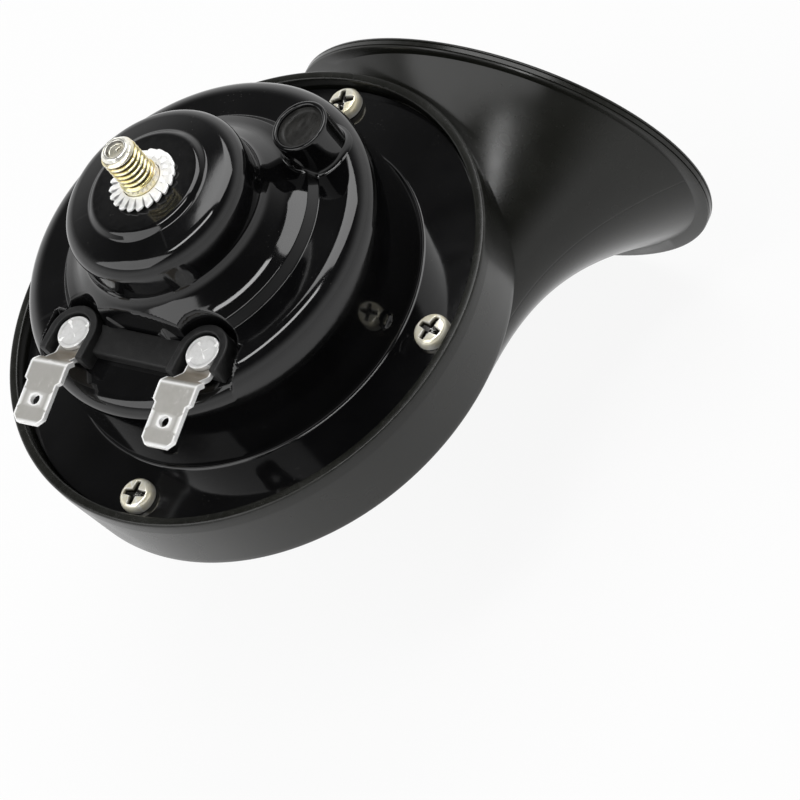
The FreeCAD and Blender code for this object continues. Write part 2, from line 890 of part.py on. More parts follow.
def below_parting():
    """Return everything below the surface where the two trumpet halves meet."""
    curve = [Vector(-beyond, -beyond, -parting_depth), Vector(0, -beyond, -parting_depth)]
    steps = 12
    for i in range(1, steps + 1):
        _, _, centre = bell_section(i / steps, 0)
        curve.append(Vector(centre.x, -beyond, centre.z))
    last = curve[-1]
    curve.append(Vector(beyond, -beyond, last.z))
    curve.append(Vector(beyond, -beyond, -2 * beyond))
    curve.append(Vector(-beyond, -beyond, -2 * beyond))
    face = Part.Face(Part.makePolygon(curve + curve[:1]))
    return face.extrude(Vector(0, 2 * beyond, 0))


def trumpet_outside():
    """Return the duct and bell filled solid, with the band round the lip."""
    width, height, centre = bell_section(1.0, 0)
    start = centre - Vector(lip_length, 0, 0)
    lip = Part.Face(oval(start, Vector(0, -1, 0), width, height)).extrude(Vector(lip_length, 0, 0))
    end = cylinder(throat_radius + duct_wall, -throat_floor - duct_wall, -chamber_depth)
    return fused([duct_loft(0), lip, end])


def trumpet_passage():
    """Return the space inside the duct and bell, from the throat to the mouth."""
    throat = cylinder(throat_radius, -throat_floor, -chamber_depth + plate_thickness)
    reach = duct_start_radius + duct_start_width
    end_wall = box((-1, duct_wall), (-reach, 0), (-parting_depth - reach, -parting_depth + reach))
    return fused([duct_loft(1).cut(end_wall), throat])


def body_ring():
    """Return the rim, skirt, diaphragm seat and chamber floor of the back half."""
    inner_rim = flange_radius + rim_play
    floor = body_seat + chamber_edge
    skirt_inner = skirt_radius - skirt_wall
    ring = turned([
        (inner_rim, -rim_height - 0.3),
        (inner_rim + 0.3, -rim_height),
        (rim_radius - 0.4, -rim_height),
        (rim_radius, -rim_height - 0.4),
        (rim_radius, -flange_depth),
        (skirt_radius, -skirt_depth + 1.0),
        (skirt_radius - 1.0, -skirt_depth),
        (skirt_inner, -skirt_depth),
        (skirt_inner, -floor - plate_thickness),
        (body_seat_radius - 1.0, -floor - plate_thickness),
        (chamber_throat_radius, -chamber_depth - plate_thickness),
        (throat_radius, -chamber_depth - plate_thickness),
        (throat_radius, -chamber_depth),
        (chamber_throat_radius, -chamber_depth),
        (body_seat_radius - 1.0, -floor),
        (body_seat_radius, -body_seat),
        (inner_rim, -body_seat),
    ])
    bosses = ring_of(
        cylinder(screw_boss_radius, -flange_depth - screw_boss_depth, -body_seat - 0.5),
        screw_circle_radius,
    )
    return fused([ring] + bosses)


def trumpet_halves():
    """Return the back and front mouldings of the trumpet."""
    outside = trumpet_outside()
    passage = trumpet_passage()
    below = below_parting()
    back = fused([body_ring(), outside.cut(below)]).cut(passage)
    room = cylinder(flange_radius + rim_play, -body_seat, 0)
    back = back.cut(room)
    chamber = turned([
        (0, -chamber_depth),
        (chamber_throat_radius, -chamber_depth),
        (body_seat_radius - 1.0, -body_seat - chamber_edge),
        (body_seat_radius, -body_seat),
        (0, -body_seat),
    ])
    back = back.cut(chamber)
    hole = cylinder(screw_radius, -flange_depth - screw_length - 0.3, 0)
    for bore in ring_of(hole, screw_circle_radius):
        back = back.cut(bore)
    front = outside.common(below).cut(passage)
    return back, front


trumpet_back, trumpet_front = trumpet_halves()
contact_low = -bracket_top
contact_high = -spring_under
contact_meet = (contact_low + contact_high) / 2

nodes = {
    "mounting_stud": mounting_stud(),
    "tooth_washer": tooth_washer(),
    "back_cover": back_cover(),
    "sealing_plug": sealing_plug(),
    "adjusting_screw": adjusting_screw(),
    "terminal_insulator": terminal_insulator(),
    "terminal_left": spade_terminal(left_x, left_y),
    "terminal_right": spade_terminal(right_x, right_y),
    "terminal_rivet_left": terminal_rivet(left_x, left_y, rivet_foot + eyelet_thickness),
    "terminal_rivet_right": terminal_rivet(right_x, right_y, bracket_under + lower_spacer),
    "inner_insulator": inner_insulator_plate(),
    "pole_core": pole_core(),
    "coil_bobbin": coil_bobbin(),
    "coil_winding": coil_winding(),
    "coil_lead_left": coil_lead_left(),
    "coil_lead_right": coil_lead_right(),
    "contact_spring": contact_spring(),
    "contact_spacer": contact_spacer_ring(),
    "contact_bracket": contact_bracket(),
    "contact_washer": contact_washer_ring(),
    "moving_contact": contact_button(contact_meet, contact_high),
    "fixed_contact": contact_button(contact_low, contact_meet),
    "armature": armature(),
    "armature_washer": armature_washer_disc(),
    "armature_rivet": armature_rivet(),
    "diaphragm": diaphragm(),
    "cover_gasket": gasket_ring(flange_under),
    "body_gasket": gasket_ring(diaphragm_under),
    "trumpet_back": trumpet_back,
    "trumpet_front": trumpet_front,
}
for angle in screw_angles:
    nodes["flange_screw_%d" % angle] = flange_screw(angle)

os.makedirs("parts", exist_ok=True)
for name, shape in nodes.items():
    shape.exportStep("parts/%s.step" % name)
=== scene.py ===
"""Looks of a trumpet car horn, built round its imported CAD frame. Sizes are in millimetres."""

import logging
import math
from dataclasses import dataclass, field
from enum import Enum
from typing import Any, Callable, Optional

import bmesh
import bpy
import numpy as np
from mathutils import Matrix, Vector


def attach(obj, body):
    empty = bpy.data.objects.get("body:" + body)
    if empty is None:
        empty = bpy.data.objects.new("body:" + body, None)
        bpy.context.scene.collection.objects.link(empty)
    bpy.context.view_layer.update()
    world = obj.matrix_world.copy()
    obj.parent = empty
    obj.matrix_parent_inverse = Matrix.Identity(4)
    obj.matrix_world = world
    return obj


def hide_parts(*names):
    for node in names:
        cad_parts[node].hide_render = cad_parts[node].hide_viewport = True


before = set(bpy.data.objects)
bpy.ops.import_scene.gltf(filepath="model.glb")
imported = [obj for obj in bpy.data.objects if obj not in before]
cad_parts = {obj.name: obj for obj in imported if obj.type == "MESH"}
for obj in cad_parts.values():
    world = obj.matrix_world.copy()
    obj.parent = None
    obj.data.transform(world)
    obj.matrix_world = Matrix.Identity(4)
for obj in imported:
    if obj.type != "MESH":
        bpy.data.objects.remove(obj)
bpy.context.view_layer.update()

MM = 0.001
BODY = "root"
TURN = 2 * math.pi
LONGEST_TRIM = 0.45  # share of a run that a rounded corner may take
STRAIGHT = 0.01  # turn, in radians, below which a line has no corner
TERMINALS = {"left": (-21.1, 11.8), "right": (-19.9, -14.6)}
TERMINAL_SEAT = -15.3
RECESS_FLOOR = -17.1
FLANGE_FACE = -33.5
SCREW_CIRCLE = 38.5
COLLAR_X, COLLAR_Y, COLLAR_BORE = 18.6, -16.1, 3.9
Triple = tuple[float, float, float]
Corners = list[tuple[float, float]]
Socket = bpy.types.NodeSocket
log = logging.getLogger("horn")


class Sharpness(Enum):
    """Angle, in degrees, above which an edge is shaded as a crease."""

    SOFT = 60.0
    PRESSED = 42.0
    CUT = 30.0


# Shapes shared by the pieces


def linked(name: str, data: bpy.types.ID) -> bpy.types.Object:
    """Return a new object of the data, linked to the scene."""
    thing = bpy.data.objects.new(name, data)
    bpy.context.scene.collection.objects.link(thing)
    return thing


@dataclass
class Patchwork:
    """Grids of points, in millimetres, gathered into one mesh."""

    points: list[np.ndarray] = field(default_factory=list)
    faces: list[np.ndarray] = field(default_factory=list)
    painted_shades_and_highlights: list[np.ndarray] = field(default_factory=list)
    count: int = 0
    weld: float = 0.002

    def add(self, grid: np.ndarray, wrap_rows: bool = False, wrap_columns: bool = False,
            painted_shade_and_highlight: Any = 0.0) -> None:
        """Add a grid of points as four-sided faces.

        Args:
            grid: Points as rows, columns and x, y, z.
            wrap_rows: Whether the last row joins the first.
            wrap_columns: Whether the last column joins the first.
            painted_shade_and_highlight: How much painted shade each point takes, from 0 to 1, as
                down a groove,
            and below 0 how much painted highlight it takes, as along an edge.
        """
        rows, columns, _ = grid.shape
        index = np.arange(rows * columns).reshape(rows, columns) + self.count
        if wrap_rows:
            index = np.vstack([index, index[:1]])
        if wrap_columns:
            index = np.hstack([index, index[:, :1]])
        corners = [index[:-1, :-1], index[1:, :-1], index[1:, 1:], index[:-1, 1:]]
        self.points.append(grid.reshape(-1, 3))
        self.faces.append(np.stack(corners, axis=-1).reshape(-1, 4))
        self.painted_shades_and_highlights.append(np.broadcast_to(painted_shade_and_highlight, (rows, columns)).ravel())
        self.count += rows * columns

    def piece(self, name: str, finish: "Finish", slot: str, node: str,
              sharpness: Sharpness = Sharpness.PRESSED) -> bpy.types.Object:
        """Weld the grids into one object that stands for a CAD node.

        Args:
            name: Name of the new object.
            finish: Finish that its material is made from.
            slot: Material slot of the record that it takes its finish from. Not used.
            node: CAD node that it stands for.
            sharpness: Angle above which an edge is a crease.

        Returns:
            The finished object, riding on the horn's body.
        """
        mesh = bpy.data.meshes.new(name)
        points = np.concatenate(self.points) * MM
        mesh.from_pydata(points.tolist(), [], np.concatenate(self.faces).tolist())
        depth = mesh.attributes.new("painted_shade_and_highlight", "FLOAT", "POINT")
        depth.data.foreach_set("value", np.concatenate(self.painted_shades_and_highlights).astype(np.float32))
        work = bmesh.new()
        work.from_mesh(mesh)
        bmesh.ops.remove_doubles(work, verts=work.verts, dist=self.weld * MM)
        bmesh.ops.recalc_face_normals(work, faces=work.faces)
        work.to_mesh(mesh)
        work.free()
        mesh.polygons.foreach_set("use_smooth", np.ones(len(mesh.polygons), bool))
        mesh.set_sharp_from_angle(angle=math.radians(sharpness.value))
        mesh.materials.append(finish.material())
        piece = linked(name, mesh)
        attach(piece, BODY)
        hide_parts(node)
        log.info("%s: %d faces, for %s", name, len(mesh.polygons), node)
        return piece


def step_up(value: np.ndarray) -> np.ndarray:
    """Return 0 below 0, 1 above 1 and a smooth cubic ramp between: 3 v squared less 2 v cubed."""
    share = np.clip(value, 0, 1)
    return share * share * (3 - 2 * share)


def peak(value: np.ndarray, middle: float, width: float) -> np.ndarray:
    """Return 1 at the middle and less both ways: e to the minus square of widths away."""
    return np.exp(-((value - middle) / width) ** 2)


def around(count: int) -> np.ndarray:
    """Return evenly spaced angles round a circle, without the last."""
    return np.linspace(0, TURN, count, endpoint=False)


def stacked(x: Any, y: Any, z: Any) -> np.ndarray:
    """Return points from their coordinates, each spread over the shape of the others."""
    return np.stack(np.broadcast_arrays(x, y, z), axis=-1)


def polar(out: Any, angles: Any, x: float = 0.0,
          y: float = 0.0) -> tuple[np.ndarray, np.ndarray]:
    """Return x and y: the middle plus the radius times the cosine and the sine."""
    return x + out * np.cos(angles), y + out * np.sin(angles)


def turned(profile: np.ndarray, angles: np.ndarray, x: float = 0.0, y: float = 0.0) -> np.ndarray:
    """Carry a profile of radius and height round an upright axis, each point at its height."""
    return stacked(*polar(profile[:, :1], angles, x, y), profile[:, 1:])


def spun(points: np.ndarray, degrees: float, x: float, y: float) -> np.ndarray:
    """Return points turned about the upright axis by an angle, then moved sideways."""
    cos, sin = polar(1.0, math.radians(degrees))
    return stacked(points[..., 0] * cos - points[..., 1] * sin + x,
                   points[..., 0] * sin + points[..., 1] * cos + y, points[..., 2])


def rounded(corners: Corners, radii: list[float], steps: int = 6,
            closed: bool = False) -> np.ndarray:
    """Round the corners of a flat line.

    Each corner gives way to an arc that touches both of its runs: the arc starts the radius
    times the tangent of half the turn away from the corner, and never further than 0.45 of a run.

    Args:
        corners: Corner points.
        radii: One radius for each corner, or for each inner corner of an open line.
        steps: Steps in each arc.
        closed: Whether the last corner joins the first.

    Returns:
        The points of the rounded line.
    """
    line = np.array(corners, float)
    if not closed:
        radii = [0.0, *radii, 0.0]
    share = np.linspace(0, 1, steps + 1)[:, None]
    pieces = []
    for i, radius in enumerate(radii):
        here = line[i]
        pieces.append(here[None])
        if radius <= 0:
            continue
        back, ahead = line[i - 1] - here, line[(i + 1) % len(line)] - here
        reach_back, reach_ahead = np.hypot(*back), np.hypot(*ahead)
        back, ahead = back / reach_back, ahead / reach_ahead
        bend = math.pi - math.acos(float(np.clip(back @ ahead, -1, 1)))
        if bend < STRAIGHT:
            continue
        trim = min(radius * math.tan(bend / 2), LONGEST_TRIM * reach_back,
                   LONGEST_TRIM * reach_ahead)
        arc = trim / math.tan(bend / 2)
        inward = (back + ahead) / np.hypot(*(back + ahead))
        middle = here + inward * arc / math.cos(bend / 2)
        start, end = here + back * trim - middle, here + ahead * trim - middle
        pieces[-1] = middle + (np.sin((1 - share) * bend) * start
                               + np.sin(share * bend) * end) / math.sin(bend)
    return np.concatenate(pieces)


def spread(line: np.ndarray, spacing: float) -> np.ndarray:
    """Add points to a line so that no two neighbours are further apart than a spacing.

    Each run is cut into equal shares, and the runs are walked as one table of stations.
    """
    runs = np.hypot(*np.diff(line, axis=0).T)
    shares = np.maximum(1, np.ceil(runs / spacing)).astype(int)
    start = np.repeat(np.arange(len(runs)), shares)
    first = np.concatenate([[0], np.cumsum(shares)[:-1]])
    part = (np.arange(shares.sum()) - first[start]) / shares[start]
    between = line[start] + (line[start + 1] - line[start]) * part[:, None]
    return np.vstack([between, line[-1:]])


def ripple(x: np.ndarray, y: np.ndarray, wave: float, seed: int) -> np.ndarray:
    """Return an uneven swell between about -1 and 1: the mean of five slanted sine waves."""
    draw = np.random.default_rng(seed)
    heading, phase = draw.uniform(0, TURN, (2, 5))
    length = wave * draw.uniform(0.7, 1.6, 5)
    along = x[..., None] * np.cos(heading) + y[..., None] * np.sin(heading)
    return np.sin(TURN * along / length + phase).mean(axis=-1) * 1.6


# Finishes


class Bench:
    """Places and joins the nodes of one shader tree."""

    def __init__(self, tree: bpy.types.NodeTree) -> None:
        """Start on an empty tree."""
        self.tree = tree
        tree.nodes.clear()

    def add(self, kind: str, values: Optional[dict[Any, Any]] = None,
            **settings: Any) -> bpy.types.Node:
        """Place one node.

        Args:
            kind: Blender's name for the node.
            values: Values or links for its inputs, by name or number.
            settings: Its own settings.

        Returns:
            The node.
        """
        node = self.tree.nodes.new(kind)
        for key, value in settings.items():
            setattr(node, key, value)
        for key, value in (values or {}).items():
            given = node.inputs[key]
            if isinstance(value, Socket):
                self.tree.links.new(value, given)
            else:
                given.default_value = (*value, 1.0) if given.type == "RGBA" else value
        return node

    def reach(self, value: Socket, start: float, end: float, low: float = 0.0,
              high: float = 1.0) -> Socket:
        """Return a value taken from one range to another, smoothly and held at both ends."""
        names = {"Value": value, "From Min": start, "From Max": end, "To Min": low, "To Max": high}
        return self.add("ShaderNodeMapRange", names, interpolation_type="SMOOTHSTEP").outputs[0]

    def blend(self, share: Any, first: Any, second: Any) -> Socket:
        """Return a colour between two, by a share of the second."""
        return self.add("ShaderNodeMix", {0: share, 6: first, 7: second},
                        data_type="RGBA").outputs[2]

    def sum(self, operation: str, *values: Any, **settings: Any) -> Socket:
        """Return one arithmetic step on its values."""
        return self.add("ShaderNodeMath", dict(enumerate(values)), operation=operation,
                        **settings).outputs[0]

    def noise(self, place: Socket, scale: Any, detail: float, roughness: float = 0.5) -> Socket:
        """Return soft noise over a place."""
        return self.add("ShaderNodeTexNoise", {"Vector": place, "Scale": scale, "Detail": detail,
                                               "Roughness": roughness}).outputs["Fac"]


@dataclass(frozen=True)
class Effect:
    """An effect that finishes share: a node group of a place and one number, made once."""

    name: str
    given: str
    result: str
    fill: Callable[[Bench, Socket, Socket], Socket]

    def tree(self) -> bpy.types.NodeTree:
        """Return the effect's node group, filled on first use."""
        known = bpy.data.node_groups.get(self.name)
        if known:
            return known
        tree = bpy.data.node_groups.new(self.name, "ShaderNodeTree")
        for label, way, kind in (("Vector", "INPUT", "Vector"), (self.given, "INPUT", "Float"),
                                 (self.result, "OUTPUT", "Float")):
            tree.interface.new_socket(label, in_out=way, socket_type="NodeSocket" + kind)
        bench = Bench(tree)
        place, number = bench.add("NodeGroupInput").outputs[:2]
        bench.add("NodeGroupOutput", {0: self.fill(bench, place, number)})
        return tree

    def on(self, bench: Bench, place: Socket, number: float) -> Socket:
        """Return the output of the effect, placed in a material with its own number."""
        return bench.add("ShaderNodeGroup", {"Vector": place, self.given: number},
                         node_tree=self.tree()).outputs[0]


def mottled(bench: Bench, place: Socket, scale: Socket) -> Socket:
    """Return broad uneven patches: two sizes of noise, added and stretched."""
    wide = bench.noise(place, scale, 3.0)
    small = bench.noise(place, bench.sum("MULTIPLY", scale, 4.3), 2.0)
    return bench.reach(bench.sum("MULTIPLY_ADD", small, 0.4, wide), 0.5, 0.9)


def grained(bench: Bench, place: Socket, scale: Socket) -> Socket:
    """Return fine relief: rounded cells with noise over them."""
    cells = bench.add("ShaderNodeTexVoronoi", {"Vector": place, "Scale": scale},
                      feature="SMOOTH_F1").outputs["Distance"]
    return bench.sum("MULTIPLY_ADD", cells, 0.5, bench.noise(place, scale, 4.0, 0.6))


def rubbed_and_highlit(bench: Bench, place: Socket, amount: Socket) -> Socket:
    """Return edges lightened by rubbing and painted edge highlight: how pointed the surface is,
    broken up by noise.
    """
    pointed = bench.add("ShaderNodeNewGeometry").outputs["Pointiness"]
    broken = bench.sum("MULTIPLY_ADD", bench.noise(place, 900.0, 3.0), 0.08, pointed)
    return bench.sum("MULTIPLY", bench.reach(broken, 0.545, 0.60), amount)


def dusted(bench: Bench, place: Socket, amount: Socket) -> Socket:
    """Return settled specks: small cells in patches, on faces that look up the stud."""
    normal = bench.add("ShaderNodeNewGeometry").outputs["Normal"]
    up = bench.add("ShaderNodeSeparateXYZ", {0: normal}).outputs["Z"]
    cells = bench.add("ShaderNodeTexVoronoi", {"Vector": place, "Scale": 1500.0})
    specks = bench.reach(cells.outputs["Distance"], 0.16, 0.05)
    patches = bench.reach(bench.noise(place, 120.0, 5.0), 0.5, 0.7)
    facing = bench.sum("MULTIPLY", bench.sum("MULTIPLY", specks, patches),
                       bench.reach(up, 0.3, 0.9))
    return bench.sum("MULTIPLY", facing, amount)


MOTTLING = Effect("mottling", "Scale", "Mask", mottled)
GRAIN = Effect("grain", "Scale", "Height", grained)
# Lightened pointed edges: partly rubbing, partly painted edge highlight.
EDGE_WEAR_AND_HIGHLIGHT = Effect("edge_wear_and_highlight_mask", "Amount", "Mask", rubbed_and_highlit)
DUSTING = Effect("dusting", "Amount", "Mask", dusted)


@dataclass(frozen=True)
class Finish:
    """A surface finish: two tones, its sheen and its fine relief."""

    name: str
    tone: Triple
    second: Triple
    metallic: float = 0.0
    roughness: tuple[float, float] = (0.4, 0.5)
    patches: float = 60.0
    grains: float = 2500.0
    relief: float = 0.01
    drawn: Triple = (1.0, 1.0, 1.0)
    # Tone and amount of lightened edges: partly rubbing, partly painted edge highlight.
    edge_wear_and_highlight_tone: Triple = (0.5, 0.5, 0.5)
    edge_wear_and_highlight: float = 0.0
    dust: float = 0.0
    dust_tone: Triple = (0.30, 0.29, 0.27)
    # Colour of painted shade in grooves, recesses and creases, read from the mesh's attribute.
    painted_shade_tone: Optional[Triple] = None
    bend: float = 1.5

    def tint(self, bench: Bench, place: Socket, mask: Socket) -> Socket:
        """Return the colour over the surface: the second tone in the patches of the first."""
        return bench.blend(mask, self.tone, self.second)

    def height(self, bench: Bench, place: Socket) -> Socket:
        """Return the fine relief over the surface, drawn out along one direction if set."""
        drawn = bench.add("ShaderNodeMapping", {"Vector": place, "Scale": self.drawn})
        return GRAIN.on(bench, drawn.outputs[0], self.grains)

    def material(self) -> bpy.types.Material:
        """Return the material of this finish, made on first use."""
        known = bpy.data.materials.get(self.name)
        if known:
            return known
        material = bpy.data.materials.new(self.name)
        material.use_nodes = True
        bench = Bench(material.node_tree)
        place = bench.add("ShaderNodeTexCoord").outputs["Object"]
        mask = MOTTLING.on(bench, place, self.patches)
        colour = self.tint(bench, place, mask)
        rough = bench.reach(mask, 0.0, 1.0, *self.roughness)
        # Painted shade: the mesh's attribute darkens grooves, recesses and creases in colour.
        if self.painted_shade_tone:
            depth = bench.add("ShaderNodeAttribute", attribute_name="painted_shade_and_highlight").outputs["Fac"]
            colour = bench.blend(depth, colour, self.painted_shade_tone)
        # Painted edge highlight with rubbing: pointed edges, and attribute values below 0, turn
        # lighter in colour.
        if self.edge_wear_and_highlight:
            brightened = EDGE_WEAR_AND_HIGHLIGHT.on(bench, place, self.edge_wear_and_highlight)
            if self.painted_shade_tone:
                brightened = bench.sum("MAXIMUM", brightened, bench.sum("MULTIPLY", depth, -1.0))
            colour = bench.blend(brightened, colour, self.edge_wear_and_highlight_tone)
        if self.dust:
            specks = DUSTING.on(bench, place, self.dust)
            colour = bench.blend(specks, colour, self.dust_tone)
            rough = bench.sum("ADD", rough, specks, use_clamp=True)
        bump = bench.add("ShaderNodeBump", {"Height": self.height(bench, place), "Strength": 1.0,
                                            "Distance": self.relief * MM})
        shader = bench.add("ShaderNodeBsdfPrincipled", {
            "Base Color": colour, "Roughness": rough, "Normal": bump.outputs[0],
            "Metallic": self.metallic, "IOR": self.bend})
        bench.add("ShaderNodeOutputMaterial", {"Surface": shader.outputs[0]})
        return material


@dataclass(frozen=True)
class PassivatedZinc(Finish):
    """Yellow zinc whose thin film drifts between gold, rose and green."""

    rose: Triple = (0.86, 0.72, 0.56)
    green: Triple = (0.70, 0.70, 0.42)
    brightened: Triple = (0.95, 0.95, 0.92)
    lighter_from: float = 7.7
    lighter_over: float = 1.2

    def tint(self, bench: Bench, place: Socket, mask: Socket) -> Socket:
        """Return gold with bands of rose and green, turning lighter towards the tip."""
        drift = bench.noise(place, 230.0, 2.0)
        gold = bench.blend(mask, self.tone, self.second)
        warm = bench.blend(bench.reach(drift, 0.52, 0.66, 0.0, 0.6), gold, self.rose)
        cool = bench.blend(bench.reach(drift, 0.48, 0.34, 0.0, 0.6), warm, self.green)
        up = bench.add("ShaderNodeSeparateXYZ", {0: place}).outputs["Z"]
        tip = bench.reach(up, self.lighter_from * MM, (self.lighter_from + self.lighter_over) * MM, 0.0,
                          0.85)
        return bench.blend(tip, cool, self.brightened)


@dataclass(frozen=True)
class WoundWire(Finish):
    """Varnished wire laid side by side in close turns."""

    turns: float = 1900.0

    def height(self, bench: Bench, place: Socket) -> Socket:
        """Return round ridges, one for each turn of wire along the coil."""
        return bench.add("ShaderNodeTexWave", {"Vector": place, "Scale": self.turns / 6.283,
                                               "Distortion": 0.4, "Detail": 1.0},
                         bands_direction="Z").outputs["Fac"]


# The edge tones below lighten pointed edges, partly as rubbing and partly as painted edge
# highlight; the tones for grooves and recesses are painted shade.
ENAMEL = Finish("gloss_enamel", (0.0022, 0.0022, 0.0024), (0.004, 0.004, 0.0043),
                roughness=(0.06, 0.09), patches=45.0, grains=650.0, relief=0.003, dust=0.16,
                edge_wear_and_highlight_tone=(0.03, 0.03, 0.03), edge_wear_and_highlight=0.2)
PLASTIC = Finish("moulded_plastic", (0.0082, 0.0084, 0.0068), (0.0112, 0.0115, 0.0094),
                 roughness=(0.20, 0.28), patches=38.0, grains=2600.0, relief=0.003, dust=0.1,
                 edge_wear_and_highlight_tone=(0.06, 0.06, 0.058), edge_wear_and_highlight=0.25, bend=1.41)
COLLAR_PLASTIC = Finish("collar_plastic", (0.004, 0.004, 0.0042), (0.008, 0.008, 0.008),
                        roughness=(0.42, 0.55), patches=90.0, grains=3000.0, relief=0.02,
                        edge_wear_and_highlight_tone=(0.04, 0.04, 0.04), edge_wear_and_highlight=0.3, dust=0.1, bend=1.38)
STUD_ZINC = PassivatedZinc("stud_zinc_finish", (0.88, 0.77, 0.40), (0.78, 0.63, 0.25),
                           metallic=0.75, roughness=(0.16, 0.26), patches=160.0, grains=5200.0,
                           relief=0.006, edge_wear_and_highlight_tone=(1.0, 0.99, 0.94), edge_wear_and_highlight=0.9,
                           painted_shade_tone=(0.022, 0.014, 0.002))
WASHER_ZINC = Finish("washer_zinc_finish", (0.96, 0.96, 0.95), (0.90, 0.90, 0.90), metallic=0.2,
                     roughness=(0.30, 0.42), patches=240.0, grains=4200.0, relief=0.02,
                     edge_wear_and_highlight_tone=(0.99, 0.99, 0.98), edge_wear_and_highlight=0.8, painted_shade_tone=(0.16, 0.16, 0.16))
TIN_PLATE = Finish("tin_plate", (0.46, 0.45, 0.425), (0.38, 0.37, 0.345), metallic=0.4,
                   roughness=(0.30, 0.42), patches=120.0, grains=3600.0, relief=0.012,
                   drawn=(0.12, 1.0, 1.0), edge_wear_and_highlight_tone=(1.0, 1.0, 0.99), edge_wear_and_highlight=1.0,
                   painted_shade_tone=(0.20, 0.165, 0.12))
RIVET_TIN = Finish("rivet_tin", (0.74, 0.74, 0.735), (0.62, 0.62, 0.61), metallic=0.25,
                   roughness=(0.30, 0.44), patches=420.0, grains=5200.0, relief=0.02,
                   edge_wear_and_highlight_tone=(1.0, 1.0, 0.99), edge_wear_and_highlight=1.0, painted_shade_tone=(0.20, 0.20, 0.19))
SCREW_NICKEL = Finish("screw_nickel_finish", (0.95, 0.92, 0.78), (0.88, 0.80, 0.56), metallic=0.4,
                      roughness=(0.16, 0.26), patches=260.0, grains=3400.0, relief=0.008,
                      edge_wear_and_highlight_tone=(1.0, 0.99, 0.95), edge_wear_and_highlight=0.9, painted_shade_tone=(0.006, 0.005, 0.003))
COMPOUND = Finish("sealing_compound_finish", (0.005, 0.0048, 0.004), (0.009, 0.0085, 0.007),
                  roughness=(0.36, 0.55), patches=330.0, grains=1500.0, relief=0.02, bend=1.36)
INNER_STEEL = Finish("inner_steel_finish", (0.50, 0.50, 0.50), (0.42, 0.41, 0.40), metallic=1.0,
                     roughness=(0.32, 0.48), patches=110.0, grains=3000.0, relief=0.01,
                     edge_wear_and_highlight_tone=(0.8, 0.8, 0.8), edge_wear_and_highlight=0.5)
COPPER = WoundWire("copper_winding_finish", (0.62, 0.24, 0.09), (0.48, 0.17, 0.07), metallic=1.0,
                   roughness=(0.25, 0.4), patches=140.0, relief=0.08)
CONTACT = Finish("contact_metal_finish", (0.55, 0.55, 0.57), (0.38, 0.38, 0.40), metallic=1.0,
                 roughness=(0.2, 0.35), patches=500.0, grains=6000.0, relief=0.008)
SPRING = Finish("spring_steel_finish", (0.42, 0.42, 0.43), (0.34, 0.32, 0.28), metallic=1.0,
                roughness=(0.28, 0.4), patches=80.0, grains=2400.0, relief=0.008)
RUBBER = Finish("gasket_rubber_finish", (0.018, 0.018, 0.018), (0.03, 0.03, 0.03),
                roughness=(0.7, 0.85), patches=120.0, grains=3000.0, relief=0.02)


# Pieces


